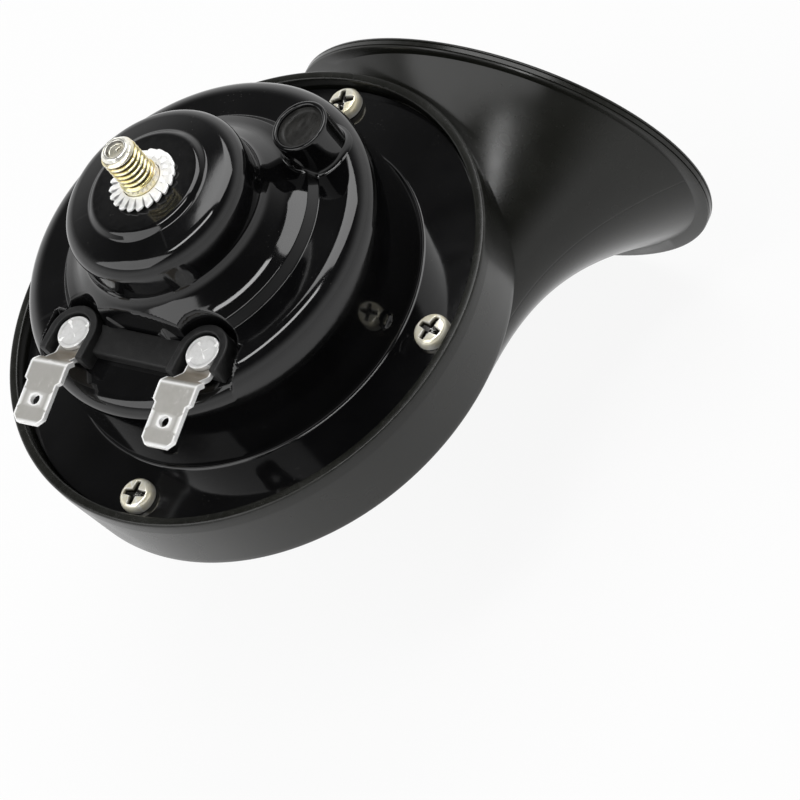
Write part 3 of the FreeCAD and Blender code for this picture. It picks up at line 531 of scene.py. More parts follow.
@dataclass
class MountingStud:
    """The threaded fixing stud with its dished, chamfered end."""

    radius: float = 3.0
    shank_radius: float = 3.25
    shank_reach: float = 2.0
    foot: float = -8.0
    foot_round: float = 0.4
    reach: float = 9.1
    pitch: float = 1.0
    thread_depth: float = 0.6
    crest: float = 0.14
    flank: float = 0.72
    run_in: float = 0.6
    run_out: float = 0.25
    chamfer: float = 0.95
    chamfer_slope: float = 0.85
    dish_radius: float = 1.72
    dish_depth: float = 0.6
    dish_slope: float = 0.5
    swell: float = 0.05
    notch_turn: float = 0.5
    notch_reach: float = 1.1
    notch_width: float = 0.15
    notch_depth: float = 0.22
    lip: float = 0.22
    lip_drop: float = 0.10

    def cone(self, height: np.ndarray) -> np.ndarray:
        """Return the chamfer's radius at a height, held before it runs to a point."""
        rise = height - (self.reach - self.chamfer)
        return np.maximum(self.radius - rise * self.chamfer_slope, 0.5)

    def thread(self, height: np.ndarray, angle: np.ndarray) -> np.ndarray:
        """Return the thread's radius.

        The phase is the height over the pitch less the turn, so the ridge climbs to the left as
        it goes round. The profile is a wedge with a flat crest and a rounded root, it fades in
        above the shank, and the chamfer's cone cuts it at the tip.
        """
        phase = (height / self.pitch - angle / TURN) % 1.0
        groove = np.clip((np.abs(phase - 0.5) * 2 - self.crest) / self.flank, 0, 1)
        above = height - self.shank_reach
        radius = self.radius - self.thread_depth * groove * step_up(above / self.run_in)
        swell = (self.shank_radius - self.radius) * (1 - step_up(above / self.run_out))
        return np.minimum(radius + swell, self.cone(height))

    def tip(self, rim: np.ndarray, angles: np.ndarray) -> tuple[np.ndarray, np.ndarray]:
        """Return the end's face and the mask of its painted shade, from the rim to the middle.

        The face sinks as a smooth step inside the dish's radius, swells unevenly there, is
        split by a short notch and turns down at its lip.
        """
        inward = np.linspace(1, 0, 34)[:, None] * rim
        x, y = polar(inward, angles)
        dish = self.reach - self.dish_depth * step_up((self.dish_radius - inward)
                                                      / self.dish_slope)
        swell = self.swell * ripple(x, y, 1.6, 4) * (inward < self.dish_radius - 0.45)
        ahead, aside = polar(1.0, angles + self.notch_turn)
        notch = peak(inward * aside, 0.0, self.notch_width) * (inward < self.notch_reach) \
            * (ahead > 0)
        lip = self.lip_drop * step_up((inward - (rim - self.lip)) / self.lip)
        # Painted shade: this ring at the dish's edge, and the notch, are darkened in colour
        # through the returned mask.
        ring = peak(inward, self.dish_radius - 0.22, 0.17)
        return stacked(x, y, dish + swell - self.notch_depth * notch - lip), \
            np.maximum(0.85 * ring, 0.8 * notch)

    def build(self) -> None:
        """Make the stud: a plain pressed-in foot, the thread, and the dished end."""
        angles = around(120)
        low = rounded([(0.0, self.foot), (self.shank_radius, self.foot),
                       (self.shank_radius, self.shank_reach)], [self.foot_round], 4)[:-1]
        height = np.linspace(self.shank_reach, self.reach, 190)[:, None]
        radius = self.thread(height, angles)
        side = stacked(*polar(radius, angles), height)
        under = np.minimum(self.radius, self.cone(height)) - radius
        # Painted shade in the thread's roots: the deeper a point lies below the crest, the darker
        # its colour.
        groove = step_up(under / self.thread_depth * 1.5 - 0.25)
        work = Patchwork()
        work.add(np.concatenate([turned(low, angles), side]), wrap_columns=True,
                 painted_shade_and_highlight=np.concatenate([np.zeros((len(low), len(angles))), groove]))
        top, painted_shade_and_highlight = self.tip(radius[-1], angles)
        top[0] = side[-1]
        work.add(top, wrap_columns=True, painted_shade_and_highlight=painted_shade_and_highlight)
        work.piece("stud", STUD_ZINC, "stud_zinc", "mounting_stud", Sharpness.SOFT)


@dataclass
class ToothWasher:
    """The external-tooth lock washer."""

    bore: float = 3.4
    root_radius: float = 4.9
    tip_radius: float = 5.8
    twist_from: float = 3.9
    crease_from: float = 3.45
    thickness: float = 0.8
    tooth_thickness: float = 0.56
    middle: float = 0.57
    twist: float = 0.27
    teeth: int = 20

    def build(self) -> None:
        """Make the washer: a flat ring whose teeth tilt about their own radial axes.

        Round the ring, the outer radius is a rounded scallop for each tooth, and the height
        follows a sloping line across the tooth that returns in the slit.
        """
        angles = around(self.teeth * 26)
        phase = (angles * self.teeth / TURN) % 1.0
        side = np.abs(phase - 0.5) * 2
        tip = self.root_radius + (self.tip_radius - self.root_radius) * np.sqrt(1 - side ** 5)
        tilt = np.clip((phase - 0.5) / 0.42, -1, 1) * step_up((1 - side) / 0.16)
        out = self.bore + (tip - self.bore) * np.linspace(0, 1, 13)[:, None]
        share = step_up(out - self.twist_from)
        lift = self.middle + self.twist * tilt * share
        half = (self.thickness + (self.tooth_thickness - self.thickness) * share) / 2
        edge = np.array([0.8, *[1.0] * 10, 0.93, 0.55])[:, None]
        x, y = polar(out, angles)
        upper, lower = (stacked(x, y, lift + way * half * edge) for way in (1, -1))
        # Painted shade in the slits between the teeth, darkened in colour.
        slit = step_up((side - 0.80) / 0.18) * step_up((out - self.crease_from) / 0.9)
        work = Patchwork()
        work.add(np.concatenate([upper, lower[::-1]]), wrap_rows=True, wrap_columns=True,
                 painted_shade_and_highlight=np.concatenate([slit, slit[::-1]]))
        work.piece("washer", WASHER_ZINC, "washer_zinc", "tooth_washer")


@dataclass
class BackCover:
    """The deep-drawn steel cover with its terminal recess and its drawn collar."""

    sheet: float = 1.2
    hole: float = 3.35
    tier_edge: float = -13.0
    drum_top: float = -14.6
    drum_inner: float = 23.6
    drum_foot: float = 32.0
    drum_taper: float = 0.8 / 18.9
    shoulder: float = 31.2
    shoulder_round: float = 4.5
    sunk_round: float = 2.5
    sunk_edge: float = -16.8
    wall_rows: tuple = (20, 70)
    flange_face: float = FLANGE_FACE
    flange_radius: float = 42.0
    recess_floor: float = RECESS_FLOOR
    recess_x: float = -18.0
    recess_mid: float = -1.4
    recess_half: float = 19.0
    pocket: float = 5.3
    step_width: float = 1.15
    dimple_angle: float = -92.0
    dimple_height: float = -29.4
    dimple_radius: float = 1.5
    dimple_depth: float = 0.62
    collar_radius: float = 4.8
    collar_bore: float = COLLAR_BORE
    collar_top: float = -7.6
    collar_foot: float = -17.0
    collar_lip: float = 0.44
    collar_fillet: float = 0.9
    spans: tuple = ((-87, 126, 1.45), (126, 238, 0.375), (238, 264, 1.45), (264, 273, 0.32))

    def centre_and_tier(self) -> tuple[np.ndarray, np.ndarray]:
        """Return the outline from the stud's hole to the drum's top, cut where the tier flares.

        The tier runs out steeply from the cap's foot, then gently, and rolls over its edge.
        """
        line = rounded([(self.hole, 0.0), (9.5, 0.0), (10.5, -0.85), (16.0, -1.5), (16.0, -9.2),
                        (19.5, -12.2), (21.9, -13.1), (23.1, self.drum_top),
                        (30.0, self.drum_top)],
                       [1.3, 0.9, 3.0, 2.6, 6.0, 0.45, 0.3], 8)[:-1]
        cut = int(np.argmax((line[:, 0] > 16.9) & (line[:, 1] < -9.0)))
        return line[:cut], spread(line[cut:], 0.32)

    def drum_part(self, top: float, round_radius: float) -> np.ndarray:
        """Return the outline over the drum's top, shoulder and wall to the flange's foot.

        Args:
            top: Height of the drum's top.
            round_radius: Radius of its shoulder.

        Returns:
            As many points for any top: 14 on the top, 13 on the shoulder and 40 on the wall.
        """
        inner = np.array([self.drum_inner, top])
        arc = rounded([inner, (self.shoulder + self.drum_taper * (self.drum_top - top), top),
                       (self.drum_foot, self.flange_face)], [round_radius], 12)[1:-1]
        flat = inner + (arc[0] - inner) * np.linspace(0, 1, 14, endpoint=False)[:, None]
        foot = np.array([self.drum_foot - self.drum_taper * 1.4, self.flange_face + 1.4])
        near = 1 - (foot[1] - self.dimple_height) / (foot[1] - arc[-1, 1])
        dense = np.linspace(near - 0.13, near + 0.13, 22)
        share = np.concatenate([np.linspace(0, dense[0], 12)[1:-1], dense,
                                np.linspace(dense[-1], 1, 9)[1:]])[:, None]
        return np.concatenate([flat, arc, arc[-1] + (foot - arc[-1]) * share])

    def flange_part(self) -> np.ndarray:
        """Return the outline round the foot, across the flange and round its edge."""
        face, under = self.flange_face, self.flange_face - self.sheet
        return rounded([(self.drum_foot - 0.06, face + 1.39), (self.drum_foot, face),
                        (self.flange_radius, face), (self.flange_radius, under), (35.0, under)],
                       [1.35, 0.25, 0.25], 6)[1:]

    def inner_part(self, top: float, tier: float) -> np.ndarray:
        """Return the outline back along the inner side, for a height of the drum and tier."""
        under = top - self.sheet
        return np.array([
            (31.0, -33.9), (30.4, -32.0), (29.95, top - 6.0), (29.7, top - 4.2), (28.8, top - 2.3),
            (27.4, under), (25.0, under), (22.4, under), (21.0, tier - self.sheet - 0.3),
            (18.4, tier + 1.7 - self.sheet), (14.9, -11.0), (14.7, -9.0), (14.7, -5.0),
            (14.4, -3.6), (13.0, -2.6), (9.0, -2.0), (8.6, -self.sheet),
            (self.hole, -self.sheet)])

    def in_recess(self, x: np.ndarray, y: np.ndarray) -> np.ndarray:
        """Return 1 in the recess, 0 outside and a smooth ramp across its step.

        The distance to the recess's edge is the larger one of a straight-sided block's, and the
        smallest of that and each round pocket's.
        """
        edge = np.maximum(x - self.recess_x, np.abs(y - self.recess_mid) - self.recess_half)
        for px, py in TERMINALS.values():
            edge = np.minimum(edge, np.hypot(x - px, y - py) - self.pocket)
        return step_up((0.72 - edge) / self.step_width)

    def dimple(self, wall: np.ndarray) -> np.ndarray:
        """Return the share of its radius that a point of the wall keeps.

        The dimple draws the wall inwards by a rounded bell of the distance from its middle.
        """
        round_way = (np.arctan2(wall[..., 1], wall[..., 0]) - math.radians(self.dimple_angle)
                     + math.pi) % TURN - math.pi
        away = np.hypot(round_way * self.drum_foot, wall[..., 2] - self.dimple_height)
        sink = self.dimple_depth * np.sqrt(np.clip(1 - (away / self.dimple_radius) ** 2, 0, 1))
        return 1 - sink / self.drum_foot

    def surface(self) -> np.ndarray:
        """Return the whole cover as one closed grid.

        The drawn shape and the one with a lowered drum have the same rows, and each point lies
        between them by how far it is in the recess.
        """
        centre, tier = self.centre_and_tier()
        flange = self.flange_part()
        high = np.concatenate([centre, tier, self.drum_part(self.drum_top, self.shoulder_round),
                               flange, self.inner_part(self.drum_top, self.tier_edge)])
        sunk_tier = np.column_stack([tier[:, 0], np.full(len(tier), self.recess_floor)])
        low = np.concatenate([centre, sunk_tier,
                              self.drum_part(self.recess_floor, self.sunk_round), flange,
                              self.inner_part(self.recess_floor, self.sunk_edge)])
        angles = np.radians(np.concatenate([np.arange(*span) for span in self.spans]))
        drawn, sunk = turned(high, angles), turned(low, angles)
        middle = (drawn + sunk) / 2
        share = self.in_recess(middle[..., 0], middle[..., 1])[..., None]
        grid = drawn + (sunk - drawn) * share
        first, last = (len(centre) + len(tier) + row for row in self.wall_rows)
        wall = grid[first:last]
        wall[..., :2] *= self.dimple(wall)[..., None]
        return grid

    def cover_height(self, x: np.ndarray, y: np.ndarray) -> np.ndarray:
        """Return the height of the drawn cover, read off its outline at a radius."""
        outline = np.concatenate([self.centre_and_tier()[1],
                                  self.drum_part(self.drum_top, self.shoulder_round)[:24]])
        return np.interp(np.hypot(x, y), outline[:, 0], outline[:, 1])

    def collar(self) -> np.ndarray:
        """Return the drawn collar as a closed grid, its root draped over the cover.

        Down the outside the height is a straight wall that ends in a quarter circle: the
        cover's height plus the fillet less its circle's drop at that radius.
        """
        angles = around(110)
        top, bore, wall, fillet = (self.collar_top, self.collar_bore, self.collar_radius,
                                   self.collar_fillet)
        lip = rounded([(bore, top - 6.0), (bore, top), (wall, top), (wall, top - 2.4)],
                      [self.collar_lip, self.collar_lip], 7)
        upper = turned(spread(lip, 0.9), angles, COLLAR_X, COLLAR_Y)
        out = wall + fillet * np.linspace(0, 1, 12)[:, None] ** 1.6
        x, y = polar(out, angles, COLLAR_X, COLLAR_Y)
        gap = np.clip(wall + fillet - out, 0, fillet)
        rise = fillet - np.sqrt(fillet ** 2 - gap ** 2)
        height = self.cover_height(x, y) + rise
        height[-1] -= 0.25
        root = stacked(x, y, np.minimum(height, top - 0.6))
        under = root[-1:].copy()
        under[..., 2] = self.collar_foot
        inside = turned(np.array([(bore, self.collar_foot)]), angles, COLLAR_X, COLLAR_Y)
        return np.concatenate([upper, root, under, inside])

    def build(self) -> None:
        """Make the cover and its collar as one piece."""
        work = Patchwork()
        work.add(self.surface(), wrap_rows=True, wrap_columns=True)
        work.add(self.collar(), wrap_rows=True, wrap_columns=True)
        work.piece("cover", ENAMEL, "black_enamel", "back_cover")


@dataclass
class SealingPlug:
    """The compound poured over the adjusting screw."""

    x: float = COLLAR_X
    y: float = COLLAR_Y
    radius: float = COLLAR_BORE
    top: float = -8.5
    foot: float = -10.1
    sag: float = 0.25
    climb: float = 0.5
    climb_from: float = 3.0
    lumps: tuple = ((0.14, 4.2, 11), (0.02, 1.6, 12))

    def build(self) -> None:
        """Make the plug: a disc whose face climbs at the wall and is lumpy from pouring."""
        angles = around(90)
        share = np.linspace(0, 1, 40)[:, None]
        out = self.radius * share
        x, y = polar(out, angles)
        climb = self.climb * np.clip((out - self.climb_from) / 0.9, 0, 1) ** 2
        lump = sum(size * ripple(x, y, wave, seed) for size, wave, seed in self.lumps)
        height = self.top - self.sag + climb + lump * (1 - share ** 4)
        side = np.array([(self.radius, self.foot), (0.0, self.foot)])
        work = Patchwork()
        work.add(np.concatenate([stacked(self.x + x, self.y + y, height),
                                 turned(side, angles, self.x, self.y)]), wrap_columns=True)
        work.piece("plug", COMPOUND, "sealing_compound", "sealing_plug", Sharpness.SOFT)


@dataclass
class SpadeTerminal:
    """One terminal: a round tab under its rivet, a step up, and a blade with a hole."""

    side: str
    x: float
    y: float
    seat: float = TERMINAL_SEAT
    thickness: float = 0.8
    reach: float = 17.1
    step_start: float = 3.5
    step_end: float = 6.6
    step_rise: float = 2.8
    tip_rise: float = 1.2
    shoulder_start: float = 5.3
    shoulder_end: float = 9.7
    blade_half: float = 3.15
    shoulder_half: float = 3.8
    neck_half: float = 2.6
    tab_radius: float = 2.9
    hole_reach: float = 13.0
    hole_radius: float = 0.9
    patch_half: float = 1.9
    tip_chamfer: float = 1.15
    # Share of the half width beyond which the strip takes painted highlight along its edges.
    painted_highlight_from: float = 0.925
    turn: float = 1.6
    edge_width: float = 0.16

    def rise(self, along: np.ndarray) -> np.ndarray:
        """Return the height of the upper face at a reach from the rivet, read off its bends."""
        line = rounded([(2.5, self.seat), (self.step_start, self.seat),
                        (self.step_end, self.seat + self.step_rise),
                        (self.reach, self.seat + self.tip_rise)], [1.0, 1.0], 8)
        return np.interp(along, line[:, 0], line[:, 1])

    def half_width(self, along: np.ndarray) -> np.ndarray:
        """Return half the strip's width at a reach: round tab, neck, shoulders, blade, tip."""
        disc = np.sqrt(np.clip(self.tab_radius ** 2 - along ** 2, 0, None))
        outline = np.array([
            (0.0, self.neck_half), (self.shoulder_start, self.neck_half),
            (self.shoulder_start + 0.12, self.shoulder_half),
            (self.shoulder_end, self.shoulder_half), (self.shoulder_end + 0.5, self.blade_half),
            (self.reach - self.tip_chamfer, self.blade_half),
            (self.reach, self.blade_half - self.tip_chamfer)])
        plain = np.interp(along, outline[:, 0], outline[:, 1])
        return np.where(along < 0, disc, np.maximum(disc, plain))

    def painted_shading(self, along: np.ndarray, across: np.ndarray) -> np.ndarray:
        """Return how much painted shade the strip takes, and below 0 how much painted highlight.

        Painted shade lies on the rise between the rivet and the bend, and painted highlight along
        its edges, at its end and over the bend.
        """
        rise = step_up((along - 2.2) / 1.2) * step_up((6.15 - along) / 0.5)
        edge = np.abs(across) > self.painted_highlight_from
        end = (along > self.reach - 0.3)[:, None]
        return np.where(edge | end, -1.0,
                        0.75 * rise[:, None] - 0.9 * peak(along, 6.75, 0.26)[:, None])

    def strip(self, along: np.ndarray, across: np.ndarray) -> np.ndarray:
        """Return a grid over a stretch of the strip: reach by share of the half width."""
        reach = along[:, None]
        return stacked(-reach, self.half_width(reach) * across, self.rise(reach))

    def holed(self, across: np.ndarray) -> np.ndarray:
        """Return the patch round the hole: rings from the hole's circle to a square edge."""
        near, far = self.hole_reach - self.patch_half, self.hole_reach + self.patch_half
        sides = across[:-1] * self.blade_half
        ends = np.linspace(near, far, 9)[:-1]
        back = (near + far) - ends
        flat, tall = np.ones(len(sides)), np.full(len(ends), self.blade_half)
        reach = np.concatenate([flat * far, back, flat * near, ends])
        side = np.concatenate([sides, tall, -sides, -tall])
        ring_x, ring_y = polar(self.hole_radius, np.arctan2(side, reach - self.hole_reach),
                               self.hole_reach)
        share = np.array([0.0, 0.13, 0.28, 0.6, 0.9, 1.0])[:, None]
        x = ring_x + (reach - ring_x) * share
        return stacked(-x, ring_y + (side - ring_y) * share, self.rise(x))

    def build(self) -> None:
        """Make the strip's upper face, give it its thickness and break its edges."""
        across = np.array([-1, -0.93, -0.86, *np.linspace(-0.7, 0.7, 9), 0.86, 0.93, 1])
        near, far = self.hole_reach - self.patch_half, self.hole_reach + self.patch_half
        tip = self.reach - self.tip_chamfer
        back = np.concatenate([
            self.tab_radius * -np.cos(np.linspace(0, math.pi / 2, 10)),
            np.linspace(0, 3.2, 6)[1:], np.linspace(3.3, self.shoulder_start, 10),
            [self.shoulder_start + 0.12], np.linspace(5.5, 7.2, 9),
            np.linspace(7.4, self.shoulder_end, 5), [10.2, 10.6, near]])
        front = np.concatenate([np.linspace(far, tip, 3),
                                self.reach - self.tip_chamfer * np.array([0.6, 0.22, 0.0])])
        patch = self.holed(across)[:, ::-1]
        # Painted highlight round the hole and along the blade's edges.
        rim = np.array([-1.0, -1.0, -0.3, 0, 0, 0])[:, None]
        rim = np.where(np.abs(patch[..., 1]) / self.blade_half > self.painted_highlight_from, -1, rim)
        work = Patchwork()
        work.add(self.strip(back, across), painted_shade_and_highlight=self.painted_shading(back, across))
        work.add(patch, wrap_columns=True, painted_shade_and_highlight=rim)
        work.add(self.strip(front, across), painted_shade_and_highlight=self.painted_shading(front, across))
        work.points = [spun(points, self.turn, self.x, self.y) for points in work.points]
        piece = work.piece("terminal_%s_blade" % self.side, TIN_PLATE, "terminal_plate",
                           "terminal_%s" % self.side, Sharpness.CUT)
        self.thicken(piece)

    def thicken(self, piece: bpy.types.Object) -> None:
        """Turn the upper face upwards, and add the thickness below it and the broken edges."""
        mesh = piece.data
        normals = np.empty(len(mesh.polygons) * 3)
        mesh.polygons.foreach_get("normal", normals)
        if normals[2::3].mean() < 0:
            mesh.flip_normals()
        thick = piece.modifiers.new("thickness", "SOLIDIFY")
        thick.thickness = self.thickness * MM
        thick.offset = -1.0
        thick.use_even_offset = True
        edge = piece.modifiers.new("broken_edges", "BEVEL")
        edge.width = self.edge_width * MM
        edge.segments = 3
        edge.limit_method = "ANGLE"
        edge.angle_limit = math.radians(50)
        edge.harden_normals = True


@dataclass
class TerminalRivet:
    """One terminal rivet: a flat head with a rolled edge, its shank and its clenched foot."""

    side: str
    x: float
    y: float
    foot: float
    seat: float = TERMINAL_SEAT
    head_radius: float = 3.0
    head_height: float = 1.2
    shank_radius: float = 1.5
    clench_radius: float = 2.4
    clench_height: float = 0.8
    roll_radius: float = 2.42
    nick: float = 5.2

    def build(self) -> None:
        """Make the rivet by turning its profile, its head's face slightly dished and uneven."""
        angles = around(96)
        top, rim, end = self.seat + self.head_height, self.head_radius, self.foot
        head = rounded([(0.0, top - 0.10), (2.3, top - 0.06), (2.68, top), (rim, top),
                        (rim, top - 0.7), (rim - 0.25, self.seat), (self.shank_radius, self.seat)],
                       [0.5, 0.2, 0.32, 0.2, 0.2], 5)
        shank = np.array([(self.shank_radius, end), (self.clench_radius, end),
                          (self.clench_radius - 0.4, end - self.clench_height),
                          (0.0, end - self.clench_height)])
        grid = turned(spread(np.concatenate([head, shank]), 0.35), angles, self.x, self.y)
        near = grid[..., 2] > self.seat + 0.1
        uneven = ripple(grid[..., 0], grid[..., 1], 2.2, 21 + len(self.side))
        grid[..., 2] += np.where(near, 0.03 * np.minimum(uneven, 0.4), 0)
        squeeze = 1 - 0.012 * (1 + np.sin(3 * angles + 1.0)) - 0.05 * peak(angles, self.nick, 0.09)
        middle = np.array([self.x, self.y])
        out = (grid[..., :2] - middle) * np.where(near, squeeze, 1)[..., None]
        grid[..., :2] = middle + out
        # Painted shade: a darker ring on the head's face near its rolled edge.
        rolled = peak(np.hypot(out[..., 0], out[..., 1]), self.roll_radius, 0.12)
        work = Patchwork()
        work.add(grid, wrap_columns=True, painted_shade_and_highlight=0.8 * rolled * (grid[..., 2] > top - 0.3))
        work.piece("rivet_%s" % self.side, RIVET_TIN, "terminal_plate",
                   "terminal_rivet_%s" % self.side, Sharpness.SOFT)


@dataclass
class TerminalInsulator:
    """The moulding under the terminals: two horseshoe collars, their bases and a bar."""

    floor: float = RECESS_FLOOR
    base: float = 1.0
    wall: float = 1.4
    radius: float = 4.7
    height: float = 3.5
    leg: float = 4.4
    bar_inner: float = -18.2
    bar_width: float = 5.2
    bar_height: float = 1.9
    bar_gap: float = 3.6
    spigot_radius: float = 2.5
    spigot_rise: float = 0.4
    spigot_drop: float = 1.2
    drum_edge: float = 29.9

    def leg_reach(self, x: float, y: float) -> float:
        """Return how far a leg runs before the drum's edge, by the circle's height there."""
        return min(self.leg, math.sqrt(self.drum_edge ** 2 - y ** 2) + x)

    def section(self, inner: float, outer: float, height: float, edge: tuple[float, float],
                steps: int) -> np.ndarray:
        """Return an upright oblong with broken edges that stands on the floor.

        Args:
            inner: Place of its one side.
            outer: Place of its other side.
            height: Its height.
            edge: Radius of its lower edges and of its upper edges.
            steps: Steps round each edge.

        Returns:
            The closed line.
        """
        return rounded([(outer, self.floor), (outer, self.floor + height),
                        (inner, self.floor + height), (inner, self.floor)],
                       [edge[0], edge[1], edge[1], edge[0]], steps, closed=True)

    def horseshoe(self, x: float, y: float) -> np.ndarray:
        """Return one collar: a rounded oblong carried along a U and closed at both ends.

        Along the legs the path is straight, and round the bend it is a half circle. The oblong
        stands across it, and it shrinks to its middle at the two ends.
        """
        half = self.wall / 2
        legs = [np.linspace(-self.leg_reach(x, y + side * self.radius), 0, 9)[:-1]
                for side in (1, -1)]
        centre = np.concatenate([legs[0], np.zeros(45), legs[1][::-1]])[:, None]
        turn = math.pi / 2
        angle = np.concatenate([np.full(8, turn), np.linspace(turn, -turn, 45),
                                np.full(8, -turn)])[:, None]
        section = self.section(half, -half, self.height, (0.02, 0.28), 5)
        grid = stacked(*polar(self.radius - half + section[:, 0], angle, x + centre, y),
                       section[:, 1])
        ends = []
        for row in (grid[0], grid[-1]):
            middle = row.mean(axis=0)
            ends += [middle + (row - middle) * size + np.array([-0.16, 0, 0])
                     for size in (0.0, 0.86)]
        return np.concatenate([ends[:2], grid, ends[:1:-1]])

    def plate(self, x: float, y: float) -> np.ndarray:
        """Return one base: a flat plate with a round end, as rings round its middle."""
        reach = min(self.leg_reach(x, y + self.radius), self.leg_reach(x, y - self.radius))
        inner = self.radius - self.wall / 2
        bend = np.linspace(-math.pi / 2, math.pi / 2, 31)
        line = np.concatenate([np.column_stack(polar(inner, bend)),
                               [(-reach, inner), (-reach, -inner)]])
        top = self.floor + self.base
        rings = np.array([(0.0, top), (0.96, top), (1.0, top - 0.12), (1.0, self.floor),
                          (0.0, self.floor)])
        size, height = rings[:, :1], rings[:, 1:]
        return stacked(x + line[:, 0] * size - (1 - size) * 0.5, y + line[:, 1] * size, height)

    def bar(self) -> np.ndarray:
        """Return the bar between the collars: a rounded oblong carried from one to the other."""
        section = self.section(self.bar_inner, self.bar_inner - self.bar_width, self.bar_height,
                               (0.05, 0.4), 6)
        along = np.linspace(TERMINALS["right"][1] + self.bar_gap,
                            TERMINALS["left"][1] - self.bar_gap, 12)
        grid = stacked(section[:, 0], along[:, None], section[:, 1])
        caps = [np.broadcast_to(row.mean(axis=0), (1, *row.shape)) for row in (grid[0], grid[-1])]
        return np.concatenate([caps[0], grid, caps[1]])

    def build(self) -> None:
        """Make the moulding as one piece."""
        work = Patchwork()
        top, foot = self.floor + self.spigot_rise, self.floor - self.spigot_drop
        spigot = rounded([(0.0, top), (self.spigot_radius, top), (self.spigot_radius, foot),
                          (0.0, foot)], [0.1, 0.1], 2)
        for x, y in TERMINALS.values():
            for grid in (self.horseshoe(x, y), self.plate(x, y),
                         turned(spigot, around(40), x, y)):
                work.add(grid, wrap_columns=True)
        work.add(self.bar(), wrap_columns=True)
        work.piece("insulator", COLLAR_PLASTIC, "black_moulding", "terminal_insulator")


@dataclass
class FlangeScrew:
    """One pan-head screw with a tapered cross recess."""

    angle: int
    turn: float
    circle: float = SCREW_CIRCLE
    seat: float = FLANGE_FACE
    head_radius: float = 3.0
    head_height: float = 2.1
    pan_radius: float = 2.0
    pan_drop: float = 1.05
    cross_half: float = 2.25
    cross_width: float = 0.58
    cross_depth: float = 1.3
    cross_taper: float = 0.1
    cross_fall: float = 0.35
    side_ramp: float = 0.24
    end_ramp: float = 0.4
    shank_radius: float = 2.0
    length: float = 7.0

    def face(self, out: np.ndarray, angles: np.ndarray) -> tuple[np.ndarray, np.ndarray]:
        """Return the height of the head's face over its seat, and how deep the cross is there, as
        the mask of painted shade in the cross.

        The pan is a low dome that turns down at the rim as a quarter of an oval. The cross is
        cut into it: each arm's depth ramps up from its sides and its end, and falls off
        towards the end, and the deeper of the two arms counts.
        """
        share = np.clip(out - self.pan_radius, 0, 1)
        dome = self.head_height - 0.10 * (out / self.pan_radius) ** 2 \
            - self.pan_drop * (1 - np.sqrt(1 - share ** 2.2))
        x, y = polar(out, angles)
        depth = np.zeros_like(x)
        for along, across in ((x, y), (y, x)):
            half = self.cross_width + 0.16 - self.cross_taper * np.abs(along)
            side = step_up((half - np.abs(across)) / self.side_ramp)
            end = step_up((self.cross_half - np.abs(along)) / self.end_ramp)
            fall = 1 - self.cross_fall * np.abs(along) / self.cross_half
            depth = np.maximum(depth, side * end * fall)
        return dome - self.cross_depth * depth, np.clip(depth * 2.2, 0, 1)

    def build(self) -> None:
        """Make the screw: its head's face, its rim and its shank."""
        angles = around(176)
        out = np.linspace(0, self.head_radius, 56)[:, None]
        rise, depth = self.face(out, angles)
        rim, end = self.head_radius, self.seat - self.length
        tail = np.array([(rim, self.seat + 0.12), (rim - 0.12, self.seat),
                         (self.shank_radius, self.seat), (self.shank_radius, end + 1.0),
                         (0.9, end), (0.0, end)])
        grid = np.concatenate([stacked(*polar(out, angles), self.seat + rise),
                               turned(tail, angles)])
        middle = polar(self.circle, math.radians(self.angle))
        work = Patchwork()
        # The cross's mask darkens it in colour as painted shade.
        work.add(spun(grid, self.turn, *middle), wrap_columns=True,
                 painted_shade_and_highlight=np.concatenate([depth, np.zeros((len(tail), len(angles)))]))
        work.piece("screw_%d" % self.angle, SCREW_NICKEL, "screw_nickel",
                   "flange_screw_%d" % self.angle)


